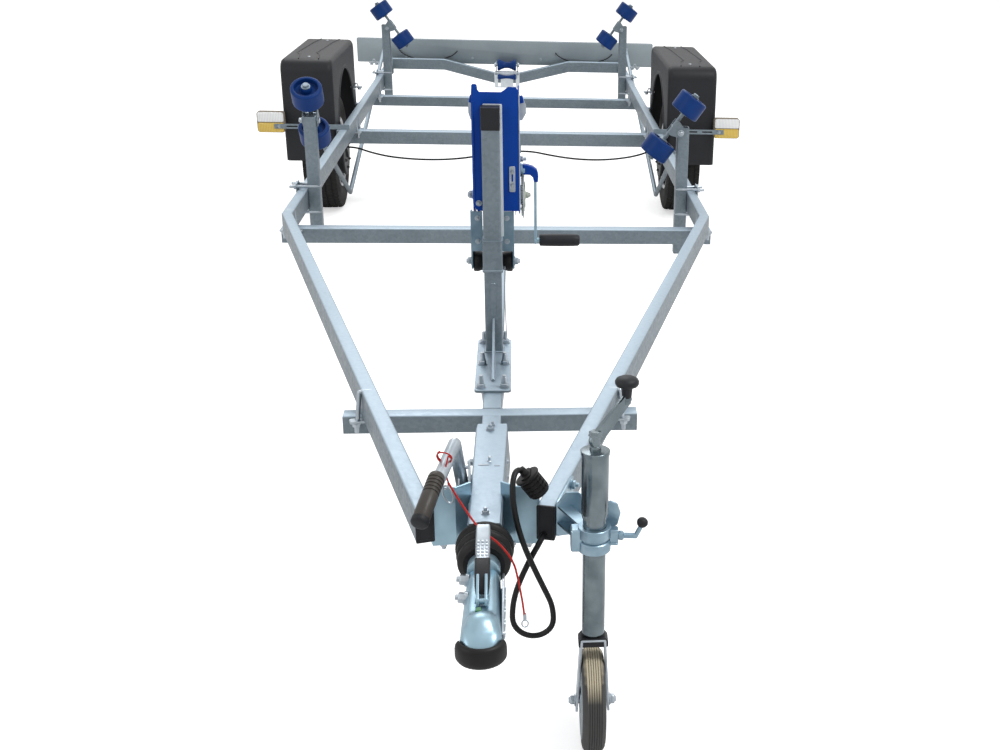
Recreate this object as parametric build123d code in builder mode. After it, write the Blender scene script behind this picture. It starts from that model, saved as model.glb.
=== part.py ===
"""Single-axle boat trailer: galvanised V-drawbar chassis with swinging side rollers, winch post,
rear lighting board, overrun coupling and jockey wheel.  Millimetres, +Z up, floor at z = 0,
+Y towards the rear, origin on the floor under the middle of the bounding box."""

import os
from math import atan2, cos, degrees, pi, radians, sin, sqrt, tan

from build123d import *

os.makedirs("parts", exist_ok=True)

# ---- driving dimensions ----------------------------------------------------------------
FRONT_Y = -3716.0          # front of the coupling's bumper
REAR_Y = 3829.0            # rear face of the tail lamps
MIDDLE_Y = (FRONT_Y + REAR_Y) / 2    # every piece is moved by this as it is saved, to centre the trailer
FIT = 0.3                  # gap between pieces that seat on one another

# chassis rails: rectangular tube, straight at the rear, converging at the front
RAIL_W, RAIL_H, WALL = 40.0, 80.0, 3.0
RAIL_TOP = 529.0
RAIL_OUT = 832.0           # outer face of the straight run
RAIL_NOSE_X, RAIL_NOSE_Y = 147.0, -3253.0
BEND_Y = -695.0
RAIL_END_Y = 3717.0

# cross members under the rails
FRONT_CROSS_Y, FRONT_CROSS_HALF, FRONT_CROSS_SIZE = -2528.5, 384.0, 50.0
BEND_CROSS_Y, CROSS_SIZE, CROSS_OVERHANG = -590.0, 60.0, 21.0
MID_CROSS_Y = 2720.0
KEEL_W = 50.0
V_CROSS_Y, V_DEPTH, V_HEIGHT = 3685.0, 50.0, 71.0
V_OUTER_TOP, V_DIP, V_FLAT_HALF, V_KNEE_X = 556.0, 83.0, 92.0, 432.0

# axle and road wheels
AXLE_Y, AXLE_BEAM_Y, AXLE_BEAM = 1625.0, 1522.0, 70.0
TYRE_R, TYRE_W, WHEEL_X, RIM_R = 308.0, 185.0, 985.0, 178.0
STUB_R, DRUM_R = 20.0, 118.0

# fenders
FENDER_X0, FENDER_X1, FENDER_WALL = 860.0, 1119.0, 4.0
FENDER_HALF, FENDER_TOP, FENDER_BOTTOM, FENDER_ROUND = 481.0, 864.0, 352.0, 62.0
ARCH_R, ARCH_Z, ARCH_LIP, LIP_T = 345.0, 415.0, 14.0, 2.0

# side-roller posts and swinging arms
POST_W = 50.0
FRONT_POST_Y, REAR_POST_Y = -269.0, 3076.0
PIVOT_IN = 12.0            # arm pivot off the post's middle, towards the hull
PIVOT_PIN_R = 8.0
POST_OVER_PIVOT = 20.0
BAR_OFF, BAR_R = 36.0, 8.0
ROLLER_R, ROLLER_W, ARM_SPAN, ARM_TILT = 63.0, 80.0, 220.0, 54.5
EAR_T = 4.0

# keel roller on the rear V beam
KEEL_R, KEEL_HALF, KEEL_WAIST = 39.0, 65.0, 21.0

# winch post
WINCH_POST_Y, WINCH_POST_TOP, WINCH_CAP_H, CAP_WALL = -2066.0, 1170.0, 62.0, 1.5
BASE_Y0, BASE_Y1, BASE_HALF, BASE_T = -2397.0, -1972.0, 50.0, 8.0
FRAME_X0, FRAME_X1, FRAME_Z0, FRAME_Z1, FRAME_T = -53.0, 81.0, 869.0, 1218.0, 5.0
FRAME_DEPTH = 160.0
STOP_R, STOP_HALF, STOP_Z = 31.0, 57.0, 711.0
DRUM_OFF, DRUM_Z = 92.0, 896.0
CRANK_Z, CRANK_ARM, GRIP_L = 970.0, 210.0, 120.0

# lighting board and marker lamps
BOARD_HALF, BOARD_Z0, BOARD_Z1, BOARD_Y, BOARD_D, BOARD_T = 1037.0, 516.0, 678.0, 3763.0, 38.0, 2.0
LAMP_W, LAMP_EDGE = 227.0, 12.0
SUPPORT_R, SUPPORT_Y0, SUPPORT_BEND_Y = 12.0, 650.0, 1415.0
SUPPORT_Z0, SUPPORT_Z1, SUPPORT_Z2 = 513.0, 619.0, 634.0
MARKER_X0, MARKER_X1, MARKER_Y, MARKER_Z0, MARKER_Z1 = 1105.0, 1242.0, 1085.0, 506.0, 612.0
MARKER_DEPTH = 40.0

# overrun device and coupling
COUPLING_Z, SHANK_R = 482.0, 25.0
HOUSING_HALF, HOUSING_Y0, HOUSING_Y1, HOUSING_Z0, HOUSING_Z1 = 33.0, -3327.0, -2803.0, 432.0, 530.0
BELLOWS_R, BELLOWS_RIBS, BELLOWS_PITCH = 60.0, 3, 28.0
HEAD_Y0, HEAD_Y1, HEAD_HALF, BUMPER_T = -3702.0, -3430.0, 39.0, 9.0
BALL_Y, BALL_BORE_R, BORE_DEPTH, HEAD_Z0 = -3640.0, 25.2, 30.0, 432.0
LEVER_R, LEVER_GRIP_R, QUADRANT_R = 11.5, 15.0, 48.0

# parked plug on the electric cable: from its mouth to its cap
PLUG_A, PLUG_B, PLUG_R = Vector(86, -3254, 604), Vector(118, -3254, 560), 24.0
CABLE_R, RED_R, BRAKE_CABLE_R, BOARD_CABLE_R = 6.2, 2.2, 5.0, 3.5

# jockey wheel
JOCKEY_X, JOCKEY_Y, JOCKEY_R, JOCKEY_W = 224.0, -3357.0, 112.0, 50.0
TUBE_R, TUBE_BORE, LEG_R, LEG_BORE = 24.0, 20.5, 20.2, 15.0
TUBE_Z0, TUBE_Z1, HEAD_TUBE_Z0, HEAD_TUBE_R = 284.0, 705.0, 567.0, 26.0
CLAMP_Z, CLAMP_H = 508.0, 54.0

RAIL_BOTTOM = RAIL_TOP - RAIL_H
RAIL_IN = RAIL_OUT - RAIL_W
SIDES = (("left", -1), ("right", 1))
ANG = atan2(RAIL_OUT - RAIL_NOSE_X, BEND_Y - RAIL_NOSE_Y)   # convergence of the drawbar rails


# ---- small helpers -----------------------------------------------------------------------
def save(piece, label):
    """Name a finished piece and write its file."""
    placed = piece.part.moved(Location((0, -MIDDLE_Y, 0)))
    placed.label = label
    export_step(placed, f"parts/{label}.step")


def block(x0, x1, y0, y1, z0, z1, mode=Mode.ADD):
    """Axis-aligned block between two corners."""
    with Locations(((x0 + x1) / 2, (y0 + y1) / 2, (z0 + z1) / 2)):
        Box(abs(x1 - x0), abs(y1 - y0), abs(z1 - z0), mode=mode)


def rod(a, b, r, mode=Mode.ADD):
    """Round bar from point a to point b."""
    a, b = Vector(*a), Vector(*b)
    with BuildSketch(Plane(origin=a, z_dir=(b - a).normalized())) as sk:
        Circle(r)
    extrude(sk.sketch, amount=(b - a).length, mode=mode)


def ring(c, axis, length, r_out, r_in):
    """Tube of given length centred on c along axis."""
    c, n = Vector(*c), Vector(*axis).normalized()
    with BuildSketch(Plane(origin=c - n * (length / 2), z_dir=n)) as sk:
        Circle(r_out)
        Circle(r_in, mode=Mode.SUBTRACT)
    extrude(sk.sketch, amount=length)


def plate(plane, points, thickness, round_r=0.0, mode=Mode.ADD):
    """Flat plate outlined on a plane, its corners rounded, thickened along the plane's normal."""
    with BuildSketch(plane) as sk:
        with BuildLine():
            Polyline(*points, close=True)
        make_face()
        if round_r:
            fillet(sk.vertices(), round_r)
    extrude(sk.sketch, amount=thickness, mode=mode)


def plate_xz(points, y0, y1, round_r=0.0, mode=Mode.ADD):
    """Flat plate outlined in X and Z between y0 and y1."""
    plate(Plane(origin=(0, y1, 0), x_dir=(1, 0, 0), z_dir=(0, -1, 0)), points, y1 - y0, round_r, mode)


def plate_yz(points, x0, x1, round_r=0.0, mode=Mode.ADD):
    """Flat plate outlined in Y and Z between x0 and x1."""
    x0, x1 = sorted((x0, x1))
    plate(Plane(origin=(x0, 0, 0), x_dir=(0, 1, 0), z_dir=(1, 0, 0)), points, x1 - x0, round_r, mode)


def plate_xy(points, z0, z1, round_r=0.0, mode=Mode.ADD):
    """Flat plate outlined in X and Y between z0 and z1."""
    plate(Plane.XY.offset(z0), points, z1 - z0, round_r, mode)


def square_tube(x0, x1, y0, y1, z0, z1, along, wall=WALL):
    """Open-ended rectangular tube whose bore runs along X, Y or Z."""
    block(x0, x1, y0, y1, z0, z1)
    inset = {k: (0 if k == along else wall) for k in "XYZ"}
    block(x0 + inset["X"], x1 - inset["X"], y0 + inset["Y"], y1 - inset["Y"],
          z0 + inset["Z"], z1 - inset["Z"], mode=Mode.SUBTRACT)


def rail_outline(side, outset):
    """Plan outline of a rail, its faces moved in by outset."""
    def line(off):
        nose = (RAIL_NOSE_X - off * cos(ANG), RAIL_NOSE_Y + off * sin(ANG))
        x = RAIL_OUT - off
        t = (x - nose[0]) / sin(ANG)
        return nose, (x, nose[1] + t * cos(ANG)), (x, RAIL_END_Y)
    out, inn = line(outset), line(RAIL_W - outset)
    return [(side * x, y) for x, y in (*out, *reversed(inn))]


def inner_face_x(y):
    """Where a converging rail's inner face lies at y."""
    return RAIL_NOSE_X - RAIL_W * cos(ANG) + (y - RAIL_NOSE_Y - RAIL_W * sin(ANG)) * tan(ANG)


# ---- chassis rails ---------------------------------------------------------------------
with BuildPart() as rails:
    for name, s in SIDES:
        plate_xy(rail_outline(s, 0), RAIL_BOTTOM, RAIL_TOP)
        plate_xy(rail_outline(s, WALL), RAIL_BOTTOM + WALL, RAIL_TOP - WALL, mode=Mode.SUBTRACT)
save(rails, "main_rails")

CAP_T = 5.0
with BuildPart() as caps:
    for name, s in SIDES:
        middle = RAIL_W / 2
        c = Vector(s * (RAIL_NOSE_X - middle * cos(ANG)), RAIL_NOSE_Y + middle * sin(ANG),
                   (RAIL_TOP + RAIL_BOTTOM) / 2)
        nose = Plane(origin=c, x_dir=(s * cos(ANG), -sin(ANG), 0), z_dir=(-s * sin(ANG), -cos(ANG), 0))
        with BuildSketch(nose):
            RectangleRounded(RAIL_W, RAIL_H, 3)
        extrude(amount=CAP_T)
        block(s * RAIL_IN, s * RAIL_OUT, RAIL_END_Y, RAIL_END_Y + CAP_T, RAIL_BOTTOM, RAIL_TOP)
    grip = POST_W / 2 + CAP_WALL
    with BuildSketch(Plane.XY.offset(WINCH_POST_TOP - WINCH_CAP_H)):
        with Locations((0, WINCH_POST_Y)):
            RectangleRounded(2 * grip, 2 * grip, 5)
    extrude(amount=WINCH_CAP_H)
    block(-POST_W / 2 - FIT, POST_W / 2 + FIT, WINCH_POST_Y - POST_W / 2 - FIT, WINCH_POST_Y + POST_W / 2 + FIT,
          WINCH_POST_TOP - WINCH_CAP_H, WINCH_POST_TOP - 3, mode=Mode.SUBTRACT)
save(caps, "end_caps")

# ---- cross members and keel tube ---------------------------------------------------------
# name: (y, half length, size)
CROSSES = {"front_cross_tube": (FRONT_CROSS_Y, FRONT_CROSS_HALF, FRONT_CROSS_SIZE),
           "bend_cross_tube": (BEND_CROSS_Y, RAIL_OUT + CROSS_OVERHANG, CROSS_SIZE),
           "mid_cross_tube": (MID_CROSS_Y, RAIL_OUT - 2, CROSS_SIZE)}
for name, (y, half, size) in CROSSES.items():
    with BuildPart() as cross:
        square_tube(-half, half, y - size / 2, y + size / 2, RAIL_BOTTOM - size, RAIL_BOTTOM, "X")
    save(cross, name)

V_INNER_TOP = V_OUTER_TOP - V_DIP
V_END = RAIL_IN - 5.0
with BuildPart() as v_cross:
    top = [(-V_END, V_OUTER_TOP), (-V_KNEE_X, V_OUTER_TOP), (-V_FLAT_HALF, V_INNER_TOP),
           (V_FLAT_HALF, V_INNER_TOP), (V_KNEE_X, V_OUTER_TOP), (V_END, V_OUTER_TOP)]
    bottom = [(x, z - V_HEIGHT) for x, z in reversed(top)]
    plate_xz(top + bottom, V_CROSS_Y - V_DEPTH / 2, V_CROSS_Y + V_DEPTH / 2)
    bore_top = [(x, z - WALL) for x, z in top]
    bore_bottom = [(x, z + WALL) for x, z in bottom]
    plate_xz(bore_top + bore_bottom, V_CROSS_Y - V_DEPTH / 2 + WALL, V_CROSS_Y + V_DEPTH / 2 - WALL,
             mode=Mode.SUBTRACT)
    for s in (-1, 1):
        plate_yz([(V_CROSS_Y - 50, RAIL_BOTTOM + 4), (V_CROSS_Y + 28, RAIL_BOTTOM + 4),
                  (V_CROSS_Y + 28, V_OUTER_TOP + 4), (V_CROSS_Y - 20, V_OUTER_TOP + 4),
                  (V_CROSS_Y - 50, RAIL_TOP - 20)], s * (V_END - 1), s * RAIL_IN)
save(v_cross, "rear_v_cross_beam")

with BuildPart() as keel:
    square_tube(-KEEL_W / 2, KEEL_W / 2, FRONT_CROSS_Y + FRONT_CROSS_SIZE / 2, BEND_CROSS_Y - CROSS_SIZE / 2,
                RAIL_BOTTOM - CROSS_SIZE, RAIL_BOTTOM, "Y")
    # short run from the front cross tube to the overrun housing
    square_tube(-KEEL_W / 2, KEEL_W / 2, HOUSING_Y1 + FIT, FRONT_CROSS_Y - FRONT_CROSS_SIZE / 2,
                RAIL_BOTTOM - CROSS_SIZE, RAIL_BOTTOM, "Y")
save(keel, "keel_tube")

# ---- axle: beam, trailing arms, brake drums, stubs ------------------------------------------
BEAM_END = RAIL_OUT + 28.0
CABLE_TAB_X = 75.0
with BuildPart() as axle:
    square_tube(-BEAM_END, BEAM_END, AXLE_BEAM_Y - AXLE_BEAM / 2, AXLE_BEAM_Y + AXLE_BEAM / 2,
                RAIL_BOTTOM - AXLE_BEAM, RAIL_BOTTOM, "X", wall=5.0)
    # tab that holds the inner ends of both brake cables
    block(CABLE_TAB_X - 15, CABLE_TAB_X + 15, AXLE_BEAM_Y - 38, AXLE_BEAM_Y - 26, RAIL_BOTTOM - AXLE_BEAM - 40,
          RAIL_BOTTOM - AXLE_BEAM + 5)
save(axle, "axle_beam")

ARM_T = 16.0
BEAM_Z = RAIL_BOTTOM - AXLE_BEAM / 2
with BuildPart() as arms:
    for s in (-1, 1):
        x0, x1 = BEAM_END, BEAM_END + ARM_T
        hub, beam = (AXLE_Y, TYRE_R), (AXLE_BEAM_Y, BEAM_Z)
        run = Vector(hub[0] - beam[0], hub[1] - beam[1])
        with BuildSketch(Plane(origin=(min(s * x0, s * x1), 0, 0), x_dir=(0, 1, 0), z_dir=(1, 0, 0))) as sk:
            with Locations(((hub[0] + beam[0]) / 2, (hub[1] + beam[1]) / 2)):
                SlotCenterToCenter(run.length, 64, rotation=degrees(atan2(run.Y, run.X)))
        extrude(sk.sketch, amount=ARM_T)
        rod((s * x1, AXLE_Y, TYRE_R), (s * (x1 + 42), AXLE_Y, TYRE_R), DRUM_R)
        rod((s * (x1 + 42), AXLE_Y, TYRE_R), (s * (WHEEL_X + 35), AXLE_Y, TYRE_R), STUB_R)
save(arms, "suspension_arms")

# ---- road wheels ---------------------------------------------------------------------------
SHOULDER = 24.0
DISC_X, HUB_R, WHEEL_BOLTS, BOLT_CIRCLE = 24.0, 52.0, 5, 56.0
for name, s in SIDES:
    axle_end = Axis((s * WHEEL_X, AXLE_Y, TYRE_R), (1, 0, 0))
    with BuildPart() as tyre:
        with BuildSketch(Plane(origin=(s * WHEEL_X, AXLE_Y, TYRE_R), x_dir=(1, 0, 0), z_dir=(0, -1, 0))):
            with BuildLine():
                h = TYRE_W / 2
                Polyline((-h + 14, RIM_R), (-h, RIM_R + 30), (-h, TYRE_R - SHOULDER), (-h + SHOULDER, TYRE_R),
                         (h - SHOULDER, TYRE_R), (h, TYRE_R - SHOULDER), (h, RIM_R + 30), (h - 14, RIM_R),
                         close=True)
            make_face()
        revolve(axis=axle_end)
    save(tyre, f"tyre_{name}")
    with BuildPart() as rim:
        ring((s * WHEEL_X, AXLE_Y, TYRE_R), (1, 0, 0), TYRE_W - 36, RIM_R, RIM_R - 8)
        ring((s * (WHEEL_X + DISC_X), AXLE_Y, TYRE_R), (1, 0, 0), 8, RIM_R - 8, 30)
        with BuildSketch(Plane(origin=(s * (WHEEL_X + DISC_X - 5), AXLE_Y, TYRE_R), z_dir=(s, 0, 0))) as vents:
            with PolarLocations(118, 10):
                Circle(15)
        extrude(vents.sketch, amount=12, mode=Mode.SUBTRACT)
        ring((s * (WHEEL_X + DISC_X - 3), AXLE_Y, TYRE_R), (1, 0, 0), 44, HUB_R, STUB_R + FIT)
        rod((s * (WHEEL_X + DISC_X + 19), AXLE_Y, TYRE_R), (s * (WHEEL_X + DISC_X + 34), AXLE_Y, TYRE_R), 34)
    save(rim, f"rim_{name}")

# ---- fenders ---------------------------------------------------------------------------------
F0, F1 = AXLE_Y - FENDER_HALF, AXLE_Y + FENDER_HALF


def fender_shell(s, inset, bottom, mode):
    """Flat-faced guard with rounded shoulders, seen from the side, its faces moved in by inset."""
    points = [(F0 + inset, bottom), (F0 + inset, FENDER_TOP - inset), (F1 - inset, FENDER_TOP - inset),
              (F1 - inset, bottom)]
    x0, x1 = sorted((s * (FENDER_X0 + inset), s * (FENDER_X1 - inset)))
    with BuildSketch(Plane(origin=(x0, 0, 0), x_dir=(0, 1, 0), z_dir=(1, 0, 0))) as sk:
        with BuildLine():
            FilletPolyline(*points, radius=FENDER_ROUND - inset)
            Line(points[-1], points[0])
        make_face()
    extrude(sk.sketch, amount=x1 - x0, mode=mode)


with BuildPart() as fenders:
    for name, s in SIDES:
        fender_shell(s, 0, FENDER_BOTTOM, Mode.ADD)
        for wall_x in (FENDER_X0, FENDER_X1):
            outward = -LIP_T if wall_x == FENDER_X0 else LIP_T
            rod((s * wall_x, AXLE_Y, ARCH_Z), (s * (wall_x + outward), AXLE_Y, ARCH_Z), ARCH_R + ARCH_LIP)
        block(s * (FENDER_X0 - 5), s * (FENDER_X1 + 5), F0 - 5, F1 + 5, 0, FENDER_BOTTOM, mode=Mode.SUBTRACT)
        fender_shell(s, FENDER_WALL, FENDER_BOTTOM - 5, Mode.SUBTRACT)
        rod((s * (FENDER_X0 - 5), AXLE_Y, ARCH_Z), (s * (FENDER_X1 + 5), AXLE_Y, ARCH_Z), ARCH_R,
            mode=Mode.SUBTRACT)
save(fenders, "fenders")

STAY_T, STAY_HALF, STAY_Z = 5.0, 22.0, 500.0
with BuildPart() as stays:
    for s in (-1, 1):
        for y in (F0 + 42, F1 - 42):
            block(s * RAIL_OUT, s * FENDER_X0, y - STAY_HALF, y + STAY_HALF, STAY_Z, STAY_Z + STAY_T)
            block(s * RAIL_OUT, s * (RAIL_OUT + STAY_T), y - STAY_HALF, y + STAY_HALF, STAY_Z - 40, STAY_Z)
            block(s * (FENDER_X0 - STAY_T), s * FENDER_X0, y - STAY_HALF, y + STAY_HALF, STAY_Z - 40, STAY_Z)
save(stays, "fender_stays")

# ---- side-roller posts, swinging arms and rollers -----------------------------------------------
POST_X = RAIL_IN - POST_W / 2
# name: (side, y, foot of the post, height of the arm's pivot, direction that the upper roller leans to)
POSTS = {"front_left": (-1, FRONT_POST_Y, 308, 807, (0, -1)),
         "front_right": (1, FRONT_POST_Y, 260, 784, (1, 0)),
         "rear_left": (-1, REAR_POST_Y, 376, 822, (-1, 0)),
         "rear_right": (1, REAR_POST_Y, 376, 846, (1, 0))}


def pivot_plane(s, y, zp, lean):
    """Plane through an arm's pivot: x along its lean, y up, normal along the pivot pin."""
    hx, hy = lean
    return Plane(origin=(s * POST_X - hx * PIVOT_IN, y - hy * PIVOT_IN, zp), x_dir=(hx, hy, 0),
                 z_dir=(hy, -hx, 0))


for end in ("front", "rear"):
    with BuildPart() as posts:
        for name, (s, y, foot, zp, lean) in POSTS.items():
            if not name.startswith(end):
                continue
            pin = pivot_plane(s, y, zp, lean)
            half = POST_W / 2
            square_tube(s * POST_X - half, s * POST_X + half, y - half, y + half, foot, zp + POST_OVER_PIVOT, "Z")
            reach = half + EAR_T + 7
            rod(tuple(pin.from_local_coords((0, 0, -reach))), tuple(pin.from_local_coords((0, 0, reach))),
                PIVOT_PIN_R)
            plate_yz([(y - 30, RAIL_BOTTOM - 28), (y + 30, RAIL_BOTTOM - 28), (y + 30, RAIL_TOP + 28),
                      (y - 30, RAIL_TOP + 28)], s * (RAIL_OUT + FIT), s * (RAIL_OUT + FIT + 6), round_r=8)
    save(posts, f"roller_posts_{end}")

for name, (s, y, foot, zp, lean) in POSTS.items():
    pin = pivot_plane(s, y, zp, lean)
    t = radians(ARM_TILT)
    # bar plane: x along the bar, y away from the post, origin on the bar above the pivot
    bar = Plane(origin=pin.from_local_coords((-BAR_OFF * sin(t), BAR_OFF * cos(t), 0)),
                x_dir=pin.x_dir * cos(t) + pin.y_dir * sin(t), z_dir=pin.z_dir)
    u = bar.x_dir
    ear_in = POST_W / 2 + 1.5

    def along(d):
        """Point of the bar's centre line at d from its middle."""
        return tuple(bar.from_local_coords((d, 0, 0)))

    with BuildPart() as arm:
        for z0 in (ear_in, -ear_in - EAR_T):
            ear = Plane(origin=bar.from_local_coords((0, 0, z0)), x_dir=u, z_dir=bar.z_dir)
            plate(ear, [(-34, 9), (34, 9), (34, -8), (16, -BAR_OFF - 20), (-16, -BAR_OFF - 20), (-34, -8)],
                  EAR_T, round_r=7)
        rod(tuple(bar.from_local_coords((0, 0, -ear_in))), tuple(bar.from_local_coords((0, 0, ear_in))), BAR_R - 1)
        half_bar = ARM_SPAN / 2 + ROLLER_W / 2 + 12
        rod(along(-half_bar), along(half_bar), BAR_R)
        for k in (-1, 1):
            for d in (ARM_SPAN / 2 - ROLLER_W / 2 - 4.5, ARM_SPAN / 2 + ROLLER_W / 2 + 1):
                rod(along(k * d), along(k * (d + 3.5)), 17)
            nut = Plane(origin=along(k * (half_bar - 7.5)), z_dir=u * k)
            with BuildSketch(nut) as hexagon:
                RegularPolygon(13, 6)
            extrude(hexagon.sketch, amount=10)
        rod(tuple(pin.from_local_coords((0, 0, -60))), tuple(pin.from_local_coords((0, 0, 60))),
            PIVOT_PIN_R + FIT, mode=Mode.SUBTRACT)
    save(arm, f"roller_arm_{name}")

    for tag, k in (("outer", 1), ("inner", -1)):
        centre = Plane(origin=along(k * ARM_SPAN / 2), x_dir=u, z_dir=bar.z_dir)
        h, deep = ROLLER_W / 2, 22
        with BuildPart() as roller:
            with BuildSketch(centre):
                with BuildLine():
                    Polyline((-h, BAR_R + FIT), (-h, 22), (-h + deep, 22), (-h + deep, 48), (-h, 48),
                             (-h, ROLLER_R - 5), (-h + 5, ROLLER_R), (h - 5, ROLLER_R), (h, ROLLER_R - 5),
                             (h, 48), (h - deep, 48), (h - deep, 22), (h, 22), (h, BAR_R + FIT), close=True)
                make_face()
            revolve(axis=Axis(along(k * ARM_SPAN / 2), tuple(u)))
        save(roller, f"side_roller_{name}_{tag}")

# ---- keel roller --------------------------------------------------------------------------------
KEEL_Z = V_INNER_TOP + 6 + KEEL_R + 5
CHEEK_X = KEEL_HALF + 6
with BuildPart() as bracket:
    for s in (-1, 1):
        plate_yz([(V_CROSS_Y - 24, V_INNER_TOP + 1), (V_CROSS_Y + 24, V_INNER_TOP + 1), (V_CROSS_Y + 24, KEEL_Z),
                  (V_CROSS_Y + 12, KEEL_Z + 22), (V_CROSS_Y - 12, KEEL_Z + 22), (V_CROSS_Y - 24, KEEL_Z)],
                 s * CHEEK_X, s * (CHEEK_X + 5))
    block(-CHEEK_X - 5, CHEEK_X + 5, V_CROSS_Y - 24, V_CROSS_Y + 24, V_INNER_TOP, V_INNER_TOP + 5)
    rod((-CHEEK_X - 12, V_CROSS_Y, KEEL_Z), (CHEEK_X + 12, V_CROSS_Y, KEEL_Z), 9)
save(bracket, "keel_roller_bracket")
with BuildPart() as roller:
    with BuildSketch(Plane(origin=(0, V_CROSS_Y, KEEL_Z), x_dir=(1, 0, 0), z_dir=(0, -1, 0))):
        with BuildLine():
            Polyline((-KEEL_HALF, 9.3), (-KEEL_HALF, KEEL_R), (-KEEL_HALF + 12, KEEL_R), (0, KEEL_WAIST),
                     (KEEL_HALF - 12, KEEL_R), (KEEL_HALF, KEEL_R), (KEEL_HALF, 9.3), close=True)
        make_face()
    revolve(axis=Axis((0, V_CROSS_Y, KEEL_Z), (1, 0, 0)))
save(roller, "keel_roller")

# ---- lighting board and its support tubes ------------------------------------------------------------
with BuildPart() as board:
    block(-BOARD_HALF, BOARD_HALF, BOARD_Y, BOARD_Y + BOARD_D, BOARD_Z0, BOARD_Z1)
    block(-BOARD_HALF + BOARD_T, BOARD_HALF - BOARD_T, BOARD_Y + BOARD_T, BOARD_Y + BOARD_D,
          BOARD_Z0 + BOARD_T, BOARD_Z1 - BOARD_T, mode=Mode.SUBTRACT)
save(board, "light_board")
with BuildPart() as lamps:
    for s in (-1, 1):
        outer = BOARD_HALF - LAMP_EDGE
        block(s * (outer - LAMP_W), s * outer, BOARD_Y + BOARD_T, REAR_Y, BOARD_Z0 + LAMP_EDGE, BOARD_Z1 - LAMP_EDGE)
    block(-150, 150, BOARD_Y + BOARD_T, BOARD_Y + BOARD_D + 6, BOARD_Z0 + LAMP_EDGE, BOARD_Z1 - LAMP_EDGE)
    fillet(lamps.edges().filter_by(Axis.Y), 10)
save(lamps, "tail_lamps")

SUPPORT_X = RAIL_OUT + FIT + SUPPORT_R
with BuildPart() as supports:
    for s in (-1, 1):
        start = (s * SUPPORT_X, SUPPORT_Y0, SUPPORT_Z0)
        bend = (s * SUPPORT_X, SUPPORT_BEND_Y, SUPPORT_Z1)
        end = (s * SUPPORT_X, BOARD_Y - FIT, SUPPORT_Z2)
        with BuildLine() as path:
            FilletPolyline(start, bend, end, radius=500)
        with BuildSketch(Plane(origin=start, z_dir=path.line @ 0.01 - path.line @ 0)) as sk:
            Circle(SUPPORT_R)
        sweep(sk.sketch, path=path.line)
        # legs that carry the straight run on the rail's end
        block(s * (RAIL_OUT - 30), s * SUPPORT_X, RAIL_END_Y - 70, RAIL_END_Y - 40, RAIL_TOP, RAIL_TOP + 5)
        block(s * (SUPPORT_X - 4), s * (SUPPORT_X + 4), RAIL_END_Y - 70, RAIL_END_Y - 40, RAIL_TOP, SUPPORT_Z2 - 8)
save(supports, "guard_bars")

# ---- marker lamps on stalks ----------------------------------------------------------------------------
STALK_Z, STALK_H, STALK_T = 540.0, 24.0, 4.0
with BuildPart() as marker_arms:
    for s in (-1, 1):
        block(s * (RAIL_IN - 10), s * (MARKER_X0 + 50), MARKER_Y - STALK_T, MARKER_Y, STALK_Z - STALK_H / 2 + 1,
              STALK_Z + STALK_H / 2 + 1)
        block(s * (RAIL_IN - 10), s * RAIL_OUT, MARKER_Y - STALK_T, MARKER_Y + 34, RAIL_TOP, RAIL_TOP + STALK_T)
        for x in (880, 960, 1040):
            block(s * x, s * (x + 55), MARKER_Y - STALK_T - 1, MARKER_Y + 1, STALK_Z - 3, STALK_Z + 5,
                  mode=Mode.SUBTRACT)
save(marker_arms, "marker_lamp_arms")
with BuildPart() as markers:
    for s in (-1, 1):
        block(s * MARKER_X0, s * MARKER_X1, MARKER_Y, MARKER_Y + MARKER_DEPTH, MARKER_Z0, MARKER_Z1)
    fillet(markers.edges().filter_by(Axis.Y), 14)
save(markers, "marker_lamps")

# ---- overrun device, bellows, coupling --------------------------------------------------------------------
with BuildPart() as housing:
    plate_xy([(-HOUSING_HALF, HOUSING_Y0), (HOUSING_HALF, HOUSING_Y0), (HOUSING_HALF, HOUSING_Y1 - 24),
              (HOUSING_HALF - 16, HOUSING_Y1), (-HOUSING_HALF + 16, HOUSING_Y1),
              (-HOUSING_HALF, HOUSING_Y1 - 24)], HOUSING_Z0, HOUSING_Z1)
    fillet(housing.edges().filter_by(Axis.Y).group_by(Axis.Z)[-1], 5)
    rod((0, HOUSING_Y0 - 5, COUPLING_Z), (0, HOUSING_Y0, COUPLING_Z), BELLOWS_R - 12)
save(housing, "overrun_housing")

PLATE_T, PLATE_Z0, PLATE_Z1 = 5.0, 424.0, 560.0
with BuildPart() as side_plates:
    for s in (-1, 1):
        y0 = RAIL_NOSE_Y + 30
        x_in, x_out = HOUSING_HALF, inner_face_x(y0)
        fold_x = 62.0
        outline = [(x_in, y0 + 30), (fold_x, y0), (inner_face_x(y0), y0), (inner_face_x(y0 + 5), y0 + PLATE_T),
                   (fold_x + 2, y0 + PLATE_T), (x_in, y0 + 30 + PLATE_T)]
        plate_xy([(s * x, y) for x, y in outline], PLATE_Z0, PLATE_Z1)
        lip = [(x_in, y0 + 34), (fold_x + 2, y0 + 4), (inner_face_x(y0 + 4), y0 + 4),
               (inner_face_x(y0 + 40), y0 + 40), (x_in, y0 + 40)]
        plate_xy([(s * x, y) for x, y in lip], PLATE_Z0, PLATE_Z0 + PLATE_T)
    # tab that the parked plug clips to
    block(84, 104, PLUG_A.Y + PLUG_R + FIT, RAIL_NOSE_Y + 31, PLATE_Z1 - 8, PLATE_Z1 + 24)
save(side_plates, "drawbar_plates")

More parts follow.
